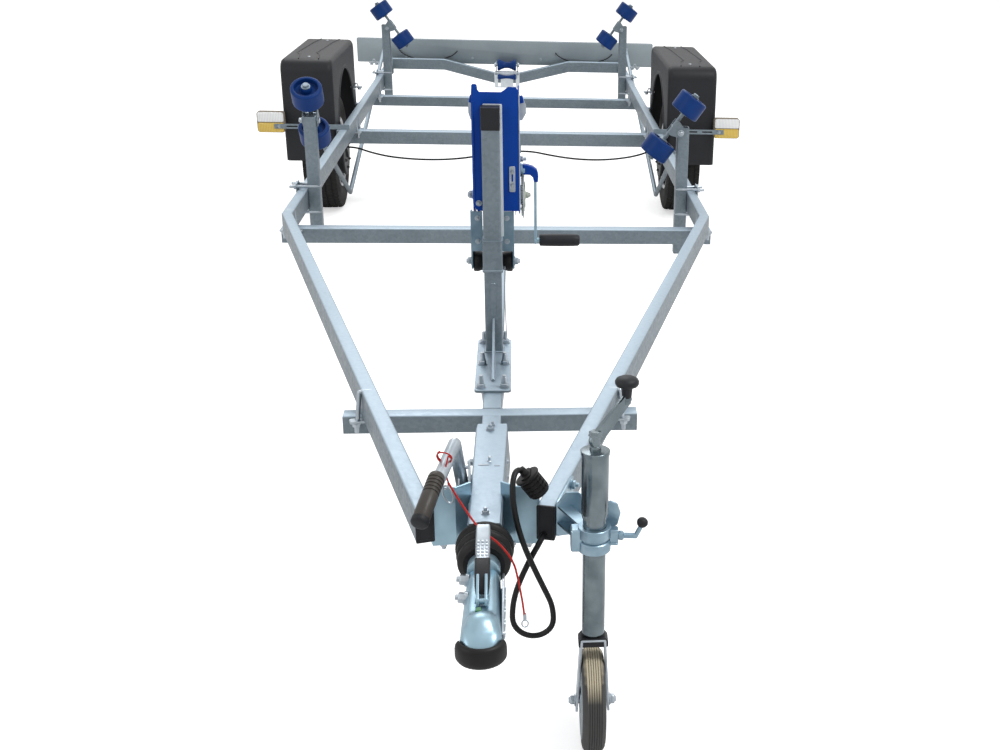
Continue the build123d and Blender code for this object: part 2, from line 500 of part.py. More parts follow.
with BuildPart() as bellows:
    with BuildSketch(Plane(origin=(0, 0, COUPLING_Z), x_dir=(0, 1, 0), z_dir=(1, 0, 0))):
        with BuildLine():
            y = HOUSING_Y0 - 5 - FIT
            pts = [(y, SHANK_R + FIT), (y, BELLOWS_R - 8)]
            for i in range(BELLOWS_RIBS):
                front = y - BELLOWS_PITCH * i
                pts += [(front - 0.3 * BELLOWS_PITCH, BELLOWS_R - 3 * i),
                        (front - 0.65 * BELLOWS_PITCH, BELLOWS_R - 3 * i),
                        (front - BELLOWS_PITCH, BELLOWS_R - 13 - 3 * i)]
            pts += [(pts[-1][0], SHANK_R + FIT)]
            Polyline(*pts, close=True)
        make_face()
    revolve(axis=Axis((0, 0, COUPLING_Z), (0, 1, 0)))
save(bellows, "bellows")

DOME_R, DOME_Z, HEAD_TOP = 33.0, 473.0, 490.0
NOSE_Y = FRONT_Y + HEAD_HALF + BUMPER_T      # centre of the rounded nose
with BuildPart() as head:
    with BuildSketch(Plane.XY.offset(HEAD_Z0)):
        with Locations((0, NOSE_Y)):
            Circle(HEAD_HALF)
        with BuildLine():
            Polyline((-HEAD_HALF, NOSE_Y), (-33, HEAD_Y1), (33, HEAD_Y1), (HEAD_HALF, NOSE_Y), close=True)
        make_face()
    extrude(amount=HEAD_TOP - HEAD_Z0)
    fillet(head.edges().group_by(Axis.Z)[-1], 10)
    with Locations((0, BALL_Y, DOME_Z)):
        Sphere(DOME_R)
    block(-HEAD_HALF - 20, HEAD_HALF + 20, HEAD_Y0 - 40, HEAD_Y1 + 5, HEAD_Z0 - 60, HEAD_Z0, mode=Mode.SUBTRACT)
    rod((0, HEAD_Y1, COUPLING_Z), (0, HOUSING_Y0 - 5, COUPLING_Z), SHANK_R)
    rod((0, HEAD_Y1 - 20, COUPLING_Z), (0, HEAD_Y1 + 10, COUPLING_Z), SHANK_R + 8)
    rod((0, BALL_Y, HEAD_Z0), (0, BALL_Y, HEAD_Z0 + BORE_DEPTH), BALL_BORE_R, mode=Mode.SUBTRACT)
save(head, "coupling_head")

with BuildPart() as handle:
    seat = HEAD_TOP + FIT
    outline = [(HEAD_Y1 - 148, seat), (HEAD_Y1 - 152, seat + 24), (HEAD_Y1 - 110, seat + 36),
               (HEAD_Y1 + 28, seat + 76), (HEAD_Y1 + 38, seat + 66), (HEAD_Y1 + 18, seat + 60),
               (HEAD_Y1 - 50, seat + 39), (HEAD_Y1 - 100, seat + 20), (HEAD_Y1 - 112, seat)]
    plate_yz(outline, -16, 16)
    fillet(handle.edges().filter_by(Axis.X), 4)
save(handle, "coupling_handle")

with BuildPart() as bumper:
    with BuildSketch(Plane.XY.offset(HEAD_Z0 + 4)):
        with Locations((0, NOSE_Y)):
            Circle(HEAD_HALF + BUMPER_T)
            Circle(HEAD_HALF + FIT, mode=Mode.SUBTRACT)
        with Locations((0, NOSE_Y + 72)):
            Rectangle(200, 120, mode=Mode.SUBTRACT)
        with Locations((0, NOSE_Y + 30)):
            Rectangle(2 * (HEAD_HALF + FIT), 60, mode=Mode.SUBTRACT)
    extrude(amount=50)
save(bumper, "coupling_bumper")

# ---- brake lever -----------------------------------------------------------------------------------------
ELBOW, LEVER_END = Vector(-66, -3146, 648), Vector(-127, -3385, 562)
PIVOT = Vector(-HOUSING_HALF - 14, -3140, 496)
with BuildPart() as lever:
    rod(tuple(PIVOT), tuple(ELBOW), LEVER_R)
    with Locations(ELBOW):
        Sphere(LEVER_R)
    rod(tuple(ELBOW), tuple(LEVER_END), LEVER_R)
    back = (ELBOW - LEVER_END).normalized()
    rod(tuple(LEVER_END), tuple(LEVER_END + back * 120), LEVER_GRIP_R)
    rod((-HOUSING_HALF, PIVOT.Y, PIVOT.Z), tuple(PIVOT), 9)
    with BuildSketch(Plane(origin=(-HOUSING_HALF - 8, PIVOT.Y, PIVOT.Z), x_dir=(0, 1, 0), z_dir=(1, 0, 0))) as sk:
        Circle(QUADRANT_R)
        with Locations((0, -QUADRANT_R / 2 - 14)):
            Rectangle(2.2 * QUADRANT_R, QUADRANT_R, mode=Mode.SUBTRACT)
        with PolarLocations(QUADRANT_R, 9, start_angle=20, angular_range=140):
            RegularPolygon(5, 3, mode=Mode.SUBTRACT)
        Circle(14)
    extrude(sk.sketch, amount=5)
save(lever, "brake_lever")


# ---- jockey wheel assembly ----------------------------------------------------------------------------------
def beside(t, off):
    """Plan point t along the right rail from its nose, off outside its face."""
    return (RAIL_NOSE_X + t * sin(ANG) + off * cos(ANG), RAIL_NOSE_Y + t * cos(ANG) - off * sin(ANG))


JP = (JOCKEY_X, JOCKEY_Y)
with BuildPart() as clamp:
    ring((*JP, CLAMP_Z), (0, 0, 1), CLAMP_H, TUBE_R + 9, TUBE_R + FIT)
    ring((*JP, CLAMP_Z + CLAMP_H / 2 - 4), (0, 0, 1), 8, TUBE_R + 12, TUBE_R + FIT)
    plate_xy([beside(4, FIT), beside(150, FIT), beside(150, 6), beside(4, 6)], CLAMP_Z - 55, RAIL_TOP + 6)
    arm_in, arm_out = beside(4, 3), beside(46, 3)
    plate_xy([arm_in, arm_out, (JOCKEY_X - 8, JOCKEY_Y + TUBE_R + 6), (JOCKEY_X - TUBE_R - 4, JOCKEY_Y + 10)],
             CLAMP_Z - CLAMP_H / 2 + 4, CLAMP_Z + CLAMP_H / 2 - 4)
    block(JOCKEY_X + TUBE_R + 6, JOCKEY_X + TUBE_R + 26, JOCKEY_Y - 9, JOCKEY_Y + 9, CLAMP_Z - 12, CLAMP_Z + 18)
    rod((JOCKEY_X + TUBE_R + 20, JOCKEY_Y, CLAMP_Z + 4), (JOCKEY_X + TUBE_R + 62, JOCKEY_Y, CLAMP_Z + 2), 6)
    rod((JOCKEY_X + TUBE_R + 60, JOCKEY_Y, CLAMP_Z - 1), (JOCKEY_X + TUBE_R + 72, JOCKEY_Y, CLAMP_Z + 24), 5)
    with Locations((JOCKEY_X + TUBE_R + 75, JOCKEY_Y, CLAMP_Z + 32)):
        Sphere(12)
save(clamp, "jockey_clamp")

with BuildPart() as outer:
    ring((*JP, (TUBE_Z0 + HEAD_TUBE_Z0 - 20) / 2), (0, 0, 1), HEAD_TUBE_Z0 - 20 - TUBE_Z0, TUBE_R, TUBE_BORE)
    with BuildSketch(Plane(origin=(*JP, 0), x_dir=(1, 0, 0), z_dir=(0, -1, 0))):
        with BuildLine():
            Polyline((TUBE_BORE, HEAD_TUBE_Z0 - 20), (TUBE_R, HEAD_TUBE_Z0 - 20), (HEAD_TUBE_R + 2, HEAD_TUBE_Z0),
                     (HEAD_TUBE_R + 2, TUBE_Z1 - 8), (HEAD_TUBE_R + 4, TUBE_Z1 - 8), (HEAD_TUBE_R + 4, TUBE_Z1),
                     (0, TUBE_Z1), (0, TUBE_Z1 - 30), (TUBE_BORE, TUBE_Z1 - 30), close=True)
        make_face()
    revolve(axis=Axis((*JP, 0), (0, 0, 1)))
    rod((*JP, TUBE_Z1), (*JP, TUBE_Z1 + 34), 10)
    turn = Vector(66, 62, 62)
    root = Vector(*JP, TUBE_Z1 + 22)
    knob = root + turn
    flat = Plane(origin=root, x_dir=turn.normalized(), z_dir=turn.cross(Vector(0, 0, 1)).normalized())
    with BuildSketch(flat.offset(-9)) as sk:
        with Locations((turn.length / 2, 0)):
            SlotCenterToCenter(turn.length, 15)
    extrude(sk.sketch, amount=18)
    with BuildSketch(Plane(origin=knob, x_dir=(1, 0, 0), z_dir=(0, -1, 0))):
        with BuildLine():
            Polyline((0, -6), (9, -6), (11, 26), (24, 34), (22, 44), (0, 50), close=True)
        make_face()
    revolve(axis=Axis(tuple(knob), (0, 0, 1)))
save(outer, "jockey_tube")

FORK_T, FORK_HALF, FORK_TOP, STRAP_W, SWIVEL_R = 5.0, 37.0, TUBE_Z0 - 1.0, 40.0, 10.0
with BuildPart() as leg:
    ring((*JP, TUBE_Z0 + 137.5), (0, 0, 1), 275, LEG_R, LEG_BORE)
    rod((*JP, TUBE_Z0), (*JP, TUBE_Z0 + 16), LEG_R)
    rod((*JP, FORK_TOP - FORK_T - 2), (*JP, TUBE_Z0 + 4), SWIVEL_R)
    rod((*JP, FORK_TOP - FORK_T - 8), (*JP, FORK_TOP - FORK_T - 0.4), SWIVEL_R + 5)
save(leg, "jockey_leg")

with BuildPart() as fork:
    outer_line = [(-FORK_HALF, JOCKEY_R - 20), (-FORK_HALF, 256), (-23, FORK_TOP), (23, FORK_TOP),
                  (FORK_HALF, 256), (FORK_HALF, JOCKEY_R - 20)]
    k = FORK_HALF - FORK_T
    inner_line = [(k, JOCKEY_R - 20), (k, 254), (21, FORK_TOP - FORK_T), (-21, FORK_TOP - FORK_T),
                  (-k, 254), (-k, JOCKEY_R - 20)]
    plate_xz([(JOCKEY_X + x, z) for x, z in outer_line + inner_line], JOCKEY_Y - STRAP_W / 2,
             JOCKEY_Y + STRAP_W / 2)
    rod((*JP, FORK_TOP - FORK_T - 1), (*JP, FORK_TOP + 1), SWIVEL_R + 0.05, mode=Mode.SUBTRACT)
    rod((JOCKEY_X - FORK_HALF - 8, JOCKEY_Y, JOCKEY_R), (JOCKEY_X + FORK_HALF + 8, JOCKEY_Y, JOCKEY_R), 8)
save(fork, "jockey_fork")

with BuildPart() as jockey:
    with BuildSketch(Plane(origin=(JOCKEY_X, JOCKEY_Y, JOCKEY_R), x_dir=(1, 0, 0), z_dir=(0, -1, 0))):
        with BuildLine():
            h = JOCKEY_W / 2
            Polyline((-h, 9), (-h, 30), (-h + 8, 34), (-h + 8, 78), (-h, 82), (-h, JOCKEY_R - 9),
                     (-h + 9, JOCKEY_R), (h - 9, JOCKEY_R), (h, JOCKEY_R - 9), (h, 82), (h - 8, 78),
                     (h - 8, 34), (h, 30), (h, 9), close=True)
        make_face()
    revolve(axis=Axis((JOCKEY_X, JOCKEY_Y, JOCKEY_R), (1, 0, 0)))
save(jockey, "jockey_wheel")

# ---- winch post, frame, bow stop, drum, crank ------------------------------------------------------------------
PY = WINCH_POST_Y
BACK = PY + POST_W / 2 + CAP_WALL    # plane that the frame seats on, behind the post and its cap
with BuildPart() as wpost:
    block(-BASE_HALF, BASE_HALF, BASE_Y0, BASE_Y1, RAIL_BOTTOM, RAIL_BOTTOM + BASE_T)
    fillet(wpost.edges().filter_by(Axis.Z), 10)
    half = POST_W / 2
    square_tube(-half, half, PY - half, PY + half, RAIL_BOTTOM + BASE_T - 1, WINCH_POST_TOP - 3 - FIT, "Z")
    foot = RAIL_BOTTOM + BASE_T
    plate_yz([(PY - half, foot - 1), (PY - half - 240, foot - 1), (PY - half - 240, foot + 8),
              (PY - half, foot + 108)], -3, 3)
save(wpost, "winch_post")

LOBE = FRAME_Z1 - 26.0
with BuildPart() as wframe:
    cheek = [(BACK + FIT, FRAME_Z0), (BACK + FRAME_DEPTH - 30, FRAME_Z0 - 40), (BACK + FRAME_DEPTH, FRAME_Z0 + 60),
             (BACK + FRAME_DEPTH - 20, FRAME_Z1 - 90), (BACK + 70, FRAME_Z1), (BACK + FIT, LOBE)]
    for x0, x1 in ((FRAME_X0, FRAME_X0 + FRAME_T), (FRAME_X1 - FRAME_T, FRAME_X1)):
        plate_yz(cheek, x0, x1, round_r=14)
    web = [(FRAME_X0 + 2, FRAME_Z0 + 16), (FRAME_X0 + 20, FRAME_Z0), (FRAME_X1 - 2, FRAME_Z0), (FRAME_X1 - 2, LOBE),
           (FRAME_X1 - 16, FRAME_Z1 - 4), (24, FRAME_Z1 - 4), (14, LOBE), (-18, LOBE), (-28, FRAME_Z1 - 4),
           (FRAME_X0 + 10, FRAME_Z1 - 4), (FRAME_X0 + 2, LOBE)]
    plate_xz(web, BACK + FIT, BACK + FIT + FRAME_T)
save(wframe, "winch_frame")

STOP_Y = BACK + 8 + STOP_R
LEG_T = 5.0
with BuildPart() as wblocks:
    with BuildSketch(Plane(origin=(0, STOP_Y, STOP_Z), x_dir=(1, 0, 0), z_dir=(0, -1, 0))):
        with BuildLine():
            Polyline((-STOP_HALF, 8), (-STOP_HALF, STOP_R), (-STOP_HALF + 14, STOP_R), (0, STOP_R - 9),
                     (STOP_HALF - 14, STOP_R), (STOP_HALF, STOP_R), (STOP_HALF, 8), close=True)
        make_face()
    revolve(axis=Axis((0, STOP_Y, STOP_Z), (1, 0, 0)))
save(wblocks, "winch_rubber_blocks")

with BuildPart() as stop_legs:
    for s in (-1, 1):
        x_out = STOP_HALF + FIT + LEG_T
        block(s * (STOP_HALF + FIT), s * x_out, BACK + FIT, STOP_Y + 16, STOP_Z - 16, FRAME_Z0 - 45)
        block(s * 28, s * x_out, BACK + FIT, BACK + FIT + LEG_T, STOP_Z + STOP_R + 8, FRAME_Z0 - 3)
        rod((s * (STOP_HALF + FIT), STOP_Y, STOP_Z), (s * (x_out + 8), STOP_Y, STOP_Z), 10)
    rod((-STOP_HALF - 1, STOP_Y, STOP_Z), (STOP_HALF + 1, STOP_Y, STOP_Z), 8 - FIT)
save(stop_legs, "bow_stop_bracket")

DY = BACK + DRUM_OFF
with BuildPart() as drum:
    x0, x1 = FRAME_X0 + FRAME_T + FIT, FRAME_X1 - FRAME_T - FIT
    rod((x0, DY, DRUM_Z), (x1, DY, DRUM_Z), 22)
    for x in (x0 + 5, x1 - 8):
        rod((x, DY, DRUM_Z), (x + 3, DY, DRUM_Z), 60)
    rod((x0 + 8, DY, DRUM_Z), (x1 - 8, DY, DRUM_Z), 44)
save(drum, "winch_drum")

with BuildPart() as crank:
    arm_x = FRAME_X1 + 41
    rod((FRAME_X1 + FIT, DY, CRANK_Z), (arm_x + 4, DY, CRANK_Z), 11)
    plate_yz([(DY - 13, CRANK_Z + 16), (DY + 13, CRANK_Z + 16), (DY + 10, CRANK_Z - CRANK_ARM - 13),
              (DY - 10, CRANK_Z - CRANK_ARM - 13)], arm_x, arm_x + 6, round_r=8)
    rod((arm_x + 6, DY, CRANK_Z - CRANK_ARM), (arm_x + 14, DY, CRANK_Z - CRANK_ARM), 7)
    rod((arm_x + 14, DY, CRANK_Z - CRANK_ARM), (arm_x + 14 + GRIP_L, DY, CRANK_Z - CRANK_ARM), 18)
save(crank, "winch_crank")


# ---- cords ---------------------------------------------------------------------------------------------------
def cord(label, runs, r):
    """Round cords along straight runs joined by tangent arcs, as wide as the runs allow."""
    with BuildPart() as piece:
        for points in runs:
            points = [Vector(*p) for p in points]
            radii, ways = [], [b - a for a, b in zip(points, points[1:])]
            for before, after in zip(ways, ways[1:]):
                half_turn = radians(before.get_angle(after)) / 2
                radii.append(0.45 * min(before.length, after.length) / tan(half_turn))
            print(label, "radii", [round(v) for v in radii])
            with BuildLine() as path:
                FilletPolyline(*points, radius=radii)
            with BuildSketch(Plane(origin=points[0], z_dir=ways[0].normalized())) as sk:
                Circle(r)
            tube = sweep(sk.sketch, path=path.line)
            length = sum(edge.length for edge in path.edges())
            print(label, "length", round(length), "volume ratio", round(tube.volume / (pi * r * r * length), 4))
    save(piece, label)


# parked plug: ring round its mouth, ribbed body
plug_way = (PLUG_B - PLUG_A).normalized()
with BuildPart() as plug:
    rod(tuple(PLUG_A), tuple(PLUG_B), PLUG_R - 2)
    for d, wide, r in ((0, 7, PLUG_R + 4), (14, 8, PLUG_R), (28, 8, PLUG_R), (42, 12, PLUG_R)):
        rod(tuple(PLUG_A + plug_way * d), tuple(PLUG_A + plug_way * (d + wide)), r)
save(plug, "trailer_plug")

# from the plug's mouth, down in a loop in front of the right rail and into its nose cap
nose_way = Vector(sin(ANG), cos(ANG), 0)
cable_in = Vector(122.4, -3252.4, 462)
cord("electric_cable", [[tuple(PLUG_A - plug_way * FIT), tuple(PLUG_A - plug_way * 16), (64, -3272, 622),
                         (58, -3293, 606), (58, -3307, 577), (63, -3316, 541), (71, -3320, 504),
                         (84, -3322, 462), (103, -3322, 414),
                         (123, -3320, 366), (136, -3317, 334), (141, -3314.5, 306), (141, -3312, 277.3),
                         (129.3, -3309.5, 257.2), (109.2, -3307.5, 245.5), (85.8, -3305.5, 245.5),
                         (65.7, -3303.5, 257.2), (54, -3301.5, 277.3), (54, -3299, 306), (59, -3296, 338),
                         (70, -3293, 372), (84, -3290, 404), (98, -3286, 432), (110.5, -3279, 452),
                         tuple(cable_in - nose_way * 14), tuple(cable_in)]], CABLE_R)

# link that hooks the breakaway cable to the brake lever
CLIP = Vector(-86, -3252, 560)
with BuildPart() as clip:
    with BuildSketch(Plane(origin=CLIP + Vector(0, 2.5, 0), x_dir=(0, 0, 1), z_dir=(0, -1, 0))):
        SlotOverall(74, 22)
        SlotOverall(64, 12, mode=Mode.SUBTRACT)
    extrude(amount=5)
save(clip, "breakaway_clip")
cord("breakaway_cable", [[(CLIP.X + 11.5, -3256, 590), (-60, -3284, 577), (-40, -3318, 561), (-18, -3360, 547),
                          (6, -3404, 546), (34, -3436, 539), (60, -3450, 507), (68, -3453, 468),
                          (74, -3451, 430), (78, -3448, 398), (80, -3446, 372)]], RED_R)

# brake cables under the axle beam, from the tab at its middle to each arm
cable_end, low = BEAM_END - FIT, RAIL_BOTTOM - AXLE_BEAM - 27
left = [(-cable_end, 1530, low), (-810, 1530, low), (-740, 1516, 330), (-640, 1502, 309), (-520, 1494, 298),
        (-390, 1490, 295), (-260, 1489, 302), (-140, 1489, 320), (-40, 1490, low - 4),
        (CABLE_TAB_X - 15 - FIT, 1490, low - 4)]
right = [(CABLE_TAB_X + 15 + FIT, 1490, low - 4), (150, 1490, low - 4), (240, 1489, 330), (345, 1489, 313),
         (460, 1490, 304), (575, 1493, 306), (680, 1501, 317), (760, 1514, 333), (815, 1530, low),
         (cable_end, 1530, low)]
cord("brake_cables", [left, right], BRAKE_CABLE_R)

# lamp wiring sagging along the front of the board
sag = [(745, BOARD_Y - FIT, 602), (745, BOARD_Y - 18, 602), (722, 3743, 580), (682, 3742, 560),
       (617, 3741, 543), (545, 3740, 536), (473, 3741, 543), (408, 3742, 560), (368, 3743, 580),
       (345, BOARD_Y - 18, 602), (345, BOARD_Y - FIT, 602)]
cord("board_cable", [[(s * x, y, z) for x, y, z in sag] for s in (-1, 1)], BOARD_CABLE_R)
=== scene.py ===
from math import asin, atan2, cos, pi, radians, sin, tan

import bmesh
import bpy
from mathutils import Matrix, Vector


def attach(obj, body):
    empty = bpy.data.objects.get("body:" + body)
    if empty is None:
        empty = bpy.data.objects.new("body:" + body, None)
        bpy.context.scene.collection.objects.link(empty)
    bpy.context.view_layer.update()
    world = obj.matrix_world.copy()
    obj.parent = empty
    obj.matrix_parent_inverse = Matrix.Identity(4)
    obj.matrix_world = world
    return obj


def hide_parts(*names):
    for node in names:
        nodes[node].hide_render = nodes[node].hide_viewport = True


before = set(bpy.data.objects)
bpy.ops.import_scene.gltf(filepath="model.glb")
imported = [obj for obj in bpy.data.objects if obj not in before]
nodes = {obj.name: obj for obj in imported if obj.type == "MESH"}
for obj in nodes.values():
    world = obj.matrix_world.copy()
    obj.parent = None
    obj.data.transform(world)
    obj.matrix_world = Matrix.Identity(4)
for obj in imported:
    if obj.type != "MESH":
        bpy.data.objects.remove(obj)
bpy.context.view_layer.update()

# Lengths along the trailer are measured from a point this far ahead of its middle, in metres.
AHEAD = 0.0565


# ---- Studio ----
# A pale seamless floor under soft boxes. The long lens stands in front of the hitch, at eye height,
# and looks back and down along the drawbar.
def linear(code):
    """Linear colour of an sRGB hex value."""
    parts = [int(code[i:i + 2], 16) / 255 for i in (0, 2, 4)]
    return [c / 12.92 if c <= 0.04045 else ((c + 0.055) / 1.055) ** 2.4 for c in parts] + [1.0]


def put(tree, kind, links=None, **settings):
    """Add a shader node. links gives its inputs, by name or number: a value, a node's output, or a
    node, which stands for its first output."""
    new = tree.nodes.new("ShaderNode" + kind)
    for key, value in settings.items():
        setattr(new, key, value)
    for key, value in (links or {}).items():
        value = value.outputs[0] if isinstance(value, bpy.types.Node) else value
        if isinstance(value, bpy.types.NodeSocket):
            tree.links.new(value, new.inputs[key])
        else:
            new.inputs[key].default_value = value
    return new


def start_material(name):
    """An empty material and its node tree."""
    paint = bpy.data.materials.new(name)
    paint.use_nodes = True
    paint.node_tree.nodes.clear()
    return paint, paint.node_tree


def coat(tree, tone, gloss, height, strength, depth, settings=None):
    """Close a material: colour, roughness and a relief of the given depth in metres go into one surface."""
    bump = put(tree, "Bump", {"Height": height, "Strength": strength, "Distance": depth})
    face = put(tree, "BsdfPrincipled", {"Base Color": tone, "Roughness": gloss,
                                        "Normal": bump, **(settings or {})})
    put(tree, "OutputMaterial", {"Surface": face})


bpy.context.scene.view_settings.view_transform = "Standard"

sky = bpy.data.worlds.new("studio")
bpy.context.scene.world = sky
sky.use_nodes = True
tree = sky.node_tree
tree.nodes.clear()
ray = put(tree, "LightPath")
seen = put(tree, "Math", {0: ray.outputs["Is Camera Ray"], 1: ray.outputs["Is Glossy Ray"]},
           operation="MAXIMUM")
seen = put(tree, "Math", {0: seen, 1: ray.outputs["Is Transmission Ray"]}, operation="MAXIMUM")
level = put(tree, "MapRange", {"Value": seen, "To Min": 0.46, "To Max": 1.0})
glow = put(tree, "Background", {"Color": linear("FFFFFF"), "Strength": level})
put(tree, "OutputWorld", {"Surface": glow})

# name: (position, aim, size, watts)
SOFT_BOXES = {"key": ((5.0, -4.5, 8.5), (0, -0.5, 0.4), 3.5, 480),
              "fill": ((-6.0, -5.5, 3.5), (0, -0.5, 0.4), 4.0, 90),
              "back": ((-1.0, 6.5, 8.5), (0, 0.5, 0.3), 5.0, 300)}
for name, (place, aim, size, watts) in SOFT_BOXES.items():
    lamp = bpy.data.lights.new(name, "AREA")
    lamp.size, lamp.energy = size, watts
    holder = bpy.data.objects.new(name, lamp)
    holder.location = place
    holder.rotation_euler = (Vector(aim) - Vector(place)).to_track_quat("-Z", "Y").to_euler()
    bpy.context.collection.objects.link(holder)

paint, tree = start_material("studio_floor")
face = put(tree, "BsdfDiffuse", {"Color": linear("FBFBFB")})
ray = put(tree, "LightPath")
lift = put(tree, "Math", {0: ray.outputs["Is Camera Ray"], 1: 0.55}, operation="MULTIPLY")
lit = put(tree, "Emission", {"Color": linear("FFFFFF"), "Strength": lift})
face = put(tree, "AddShader", {0: face, 1: lit})
put(tree, "OutputMaterial", {"Surface": face})
bpy.ops.mesh.primitive_plane_add(size=80, location=(0, 0, 0))
floor = bpy.context.object
floor.name = "studio_floor"
floor.data.materials.append(paint)

YAW, PITCH, ROLL = radians(7.2), radians(22.1), radians(2.1)
ahead = Vector((sin(YAW) * cos(PITCH), cos(YAW) * cos(PITCH), -sin(PITCH)))
level_right = Vector((cos(YAW), -sin(YAW), 0))
level_up = level_right.cross(ahead)
right = level_right * cos(ROLL) + level_up * sin(ROLL)
up = level_up * cos(ROLL) - level_right * sin(ROLL)
lens = bpy.data.cameras.new("lens")
lens.sensor_width, lens.lens = 36.0, 46.487
lens.shift_x, lens.shift_y = -0.1727, 0.0305
lens.clip_end = 100
camera = bpy.data.objects.new("camera", lens)
camera.matrix_world = Matrix((right, up, -ahead)).transposed().to_4x4()
camera.location = (0.0786, -5.7152 - AHEAD, 1.7646)
bpy.context.collection.objects.link(camera)
bpy.context.scene.camera = camera


# ---- Wiring and brake cables ----
# PVC-sheathed electric cable with its plug parked on the drawbar, red coated breakaway wire, and
# sheathed brake cables slung under the axle. They hang between clips, so they sag in easy curves.
def sheath(name, code, rough, grain):
    """Extruded PVC sheath: even colour, a slight gloss, and a faint waviness from the extruder."""
    paint, tree = start_material(name)
    place = put(tree, "TexCoord").outputs["Object"]
    wave = put(tree, "TexNoise", {"Vector": place, "Scale": 1000 / grain, "Detail": 2.0})
    tone = put(tree, "MixRGB", {0: wave, 1: linear(code), 2: [c * 1.5 for c in linear(code)[:3]] + [1]})
    gloss = put(tree, "MapRange", {"Value": wave, "To Min": rough - 0.08, "To Max": rough + 0.08})
    coat(tree, tone, gloss, wave, 0.3, 0.0003, {"Specular IOR Level": 0.25})
    return paint


black_pvc = sheath("black_pvc_sheath", "121214", 0.42, 6)
red_pvc = sheath("red_pvc_sheath", "A81E18", 0.38, 4)


def hang(name, points, radius, paint, node, **facts):
    """A free cord: one smooth line through the air, from its exit to its far end, in metres."""
    points = [(x, y - AHEAD, z) for x, y, z in points]
    curve = bpy.data.curves.new(name, "CURVE")
    curve.dimensions = "3D"
    line = curve.splines.new("NURBS")
    line.points.add(len(points) - 1)
    for spot, point in zip(line.points, points):
        spot.co = (*point, 1.0)
    line.order_u = 3
    line.use_endpoint_u = True
    line.resolution_u = 8
    curve.bevel_depth, curve.bevel_resolution, curve.use_fill_caps = radius, 4, True
    curve.materials.append(paint)
    piece = bpy.data.objects.new(name, curve)
    bpy.context.collection.objects.link(piece)
    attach(piece, "trailer")
    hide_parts(node)
    if facts:
        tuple(points[0])
    return piece


ELECTRIC = [(0.0858, -3.254, 0.6042), (0.0766, -3.254, 0.6169), (0.064, -3.272, 0.622),
            (0.058, -3.293, 0.606), (0.058, -3.307, 0.577), (0.063, -3.316, 0.541), (0.071, -3.320, 0.504),
            (0.084, -3.322, 0.462), (0.103, -3.322, 0.414), (0.123, -3.320, 0.366), (0.136, -3.317, 0.334),
            (0.141, -3.3145, 0.306), (0.141, -3.312, 0.2773), (0.1293, -3.3095, 0.2572),
            (0.1092, -3.3075, 0.2455), (0.0858, -3.3055, 0.2455), (0.0657, -3.3035, 0.2572),
            (0.054, -3.3015, 0.2773), (0.054, -3.299, 0.306), (0.059, -3.296, 0.338), (0.070, -3.293, 0.372),
            (0.084, -3.290, 0.404), (0.098, -3.286, 0.432), (0.1105, -3.279, 0.452), (0.1188, -3.2659, 0.462),
            (0.1224, -3.2524, 0.462)]
hang("electric_lead", ELECTRIC, 0.0062, black_pvc, "electric_cable", length=0.735, far_end="object",
     stiffness="limp", lay="hanging")

BREAKAWAY = [(-0.0745, -3.256, 0.590), (-0.060, -3.284, 0.577), (-0.040, -3.318, 0.561),
             (-0.018, -3.360, 0.547), (0.006, -3.404, 0.546), (0.034, -3.436, 0.539), (0.060, -3.450, 0.507),
             (0.068, -3.453, 0.468), (0.074, -3.451, 0.430), (0.078, -3.448, 0.398), (0.080, -3.446, 0.372)]
breakaway_wire = hang("breakaway_wire", BREAKAWAY, 0.0022, red_pvc, "breakaway_cable")

BRAKE_LEFT = [(-0.8597, 1.530, 0.352), (-0.810, 1.530, 0.352), (-0.740, 1.516, 0.330), (-0.640, 1.502, 0.309),
              (-0.520, 1.494, 0.298), (-0.390, 1.490, 0.295), (-0.260, 1.489, 0.302), (-0.140, 1.489, 0.320),
              (-0.040, 1.490, 0.348), (0.0597, 1.490, 0.348)]
BRAKE_RIGHT = [(0.0903, 1.490, 0.348), (0.150, 1.490, 0.348), (0.240, 1.489, 0.330), (0.345, 1.489, 0.313),
               (0.460, 1.490, 0.304), (0.575, 1.493, 0.306), (0.680, 1.501, 0.317), (0.760, 1.514, 0.333),
               (0.815, 1.530, 0.352), (0.8597, 1.530, 0.352)]
hang("brake_cable_left", BRAKE_LEFT, 0.005, black_pvc, "brake_cables", length=0.93, far_end="object",
     stiffness="stiff", lay="hanging")
hang("brake_cable_right", BRAKE_RIGHT, 0.005, black_pvc, "brake_cables", length=0.78, far_end="object",
     stiffness="stiff", lay="hanging")

BOARD_SAG = [(0.745, 3.7627, 0.602), (0.745, 3.745, 0.602), (0.722, 3.743, 0.580), (0.682, 3.742, 0.560),
             (0.617, 3.741, 0.543), (0.545, 3.740, 0.536), (0.473, 3.741, 0.543), (0.408, 3.742, 0.560),
             (0.368, 3.743, 0.580), (0.345, 3.745, 0.602), (0.345, 3.7627, 0.602)]
for name, side in (("left", -1), ("right", 1)):
    hang(f"board_lead_{name}", [(side * x, y, z) for x, y, z in BOARD_SAG], 0.0035, black_pvc, "board_cable",
         length=0.455, far_end="object", stiffness="limp", lay="hanging")


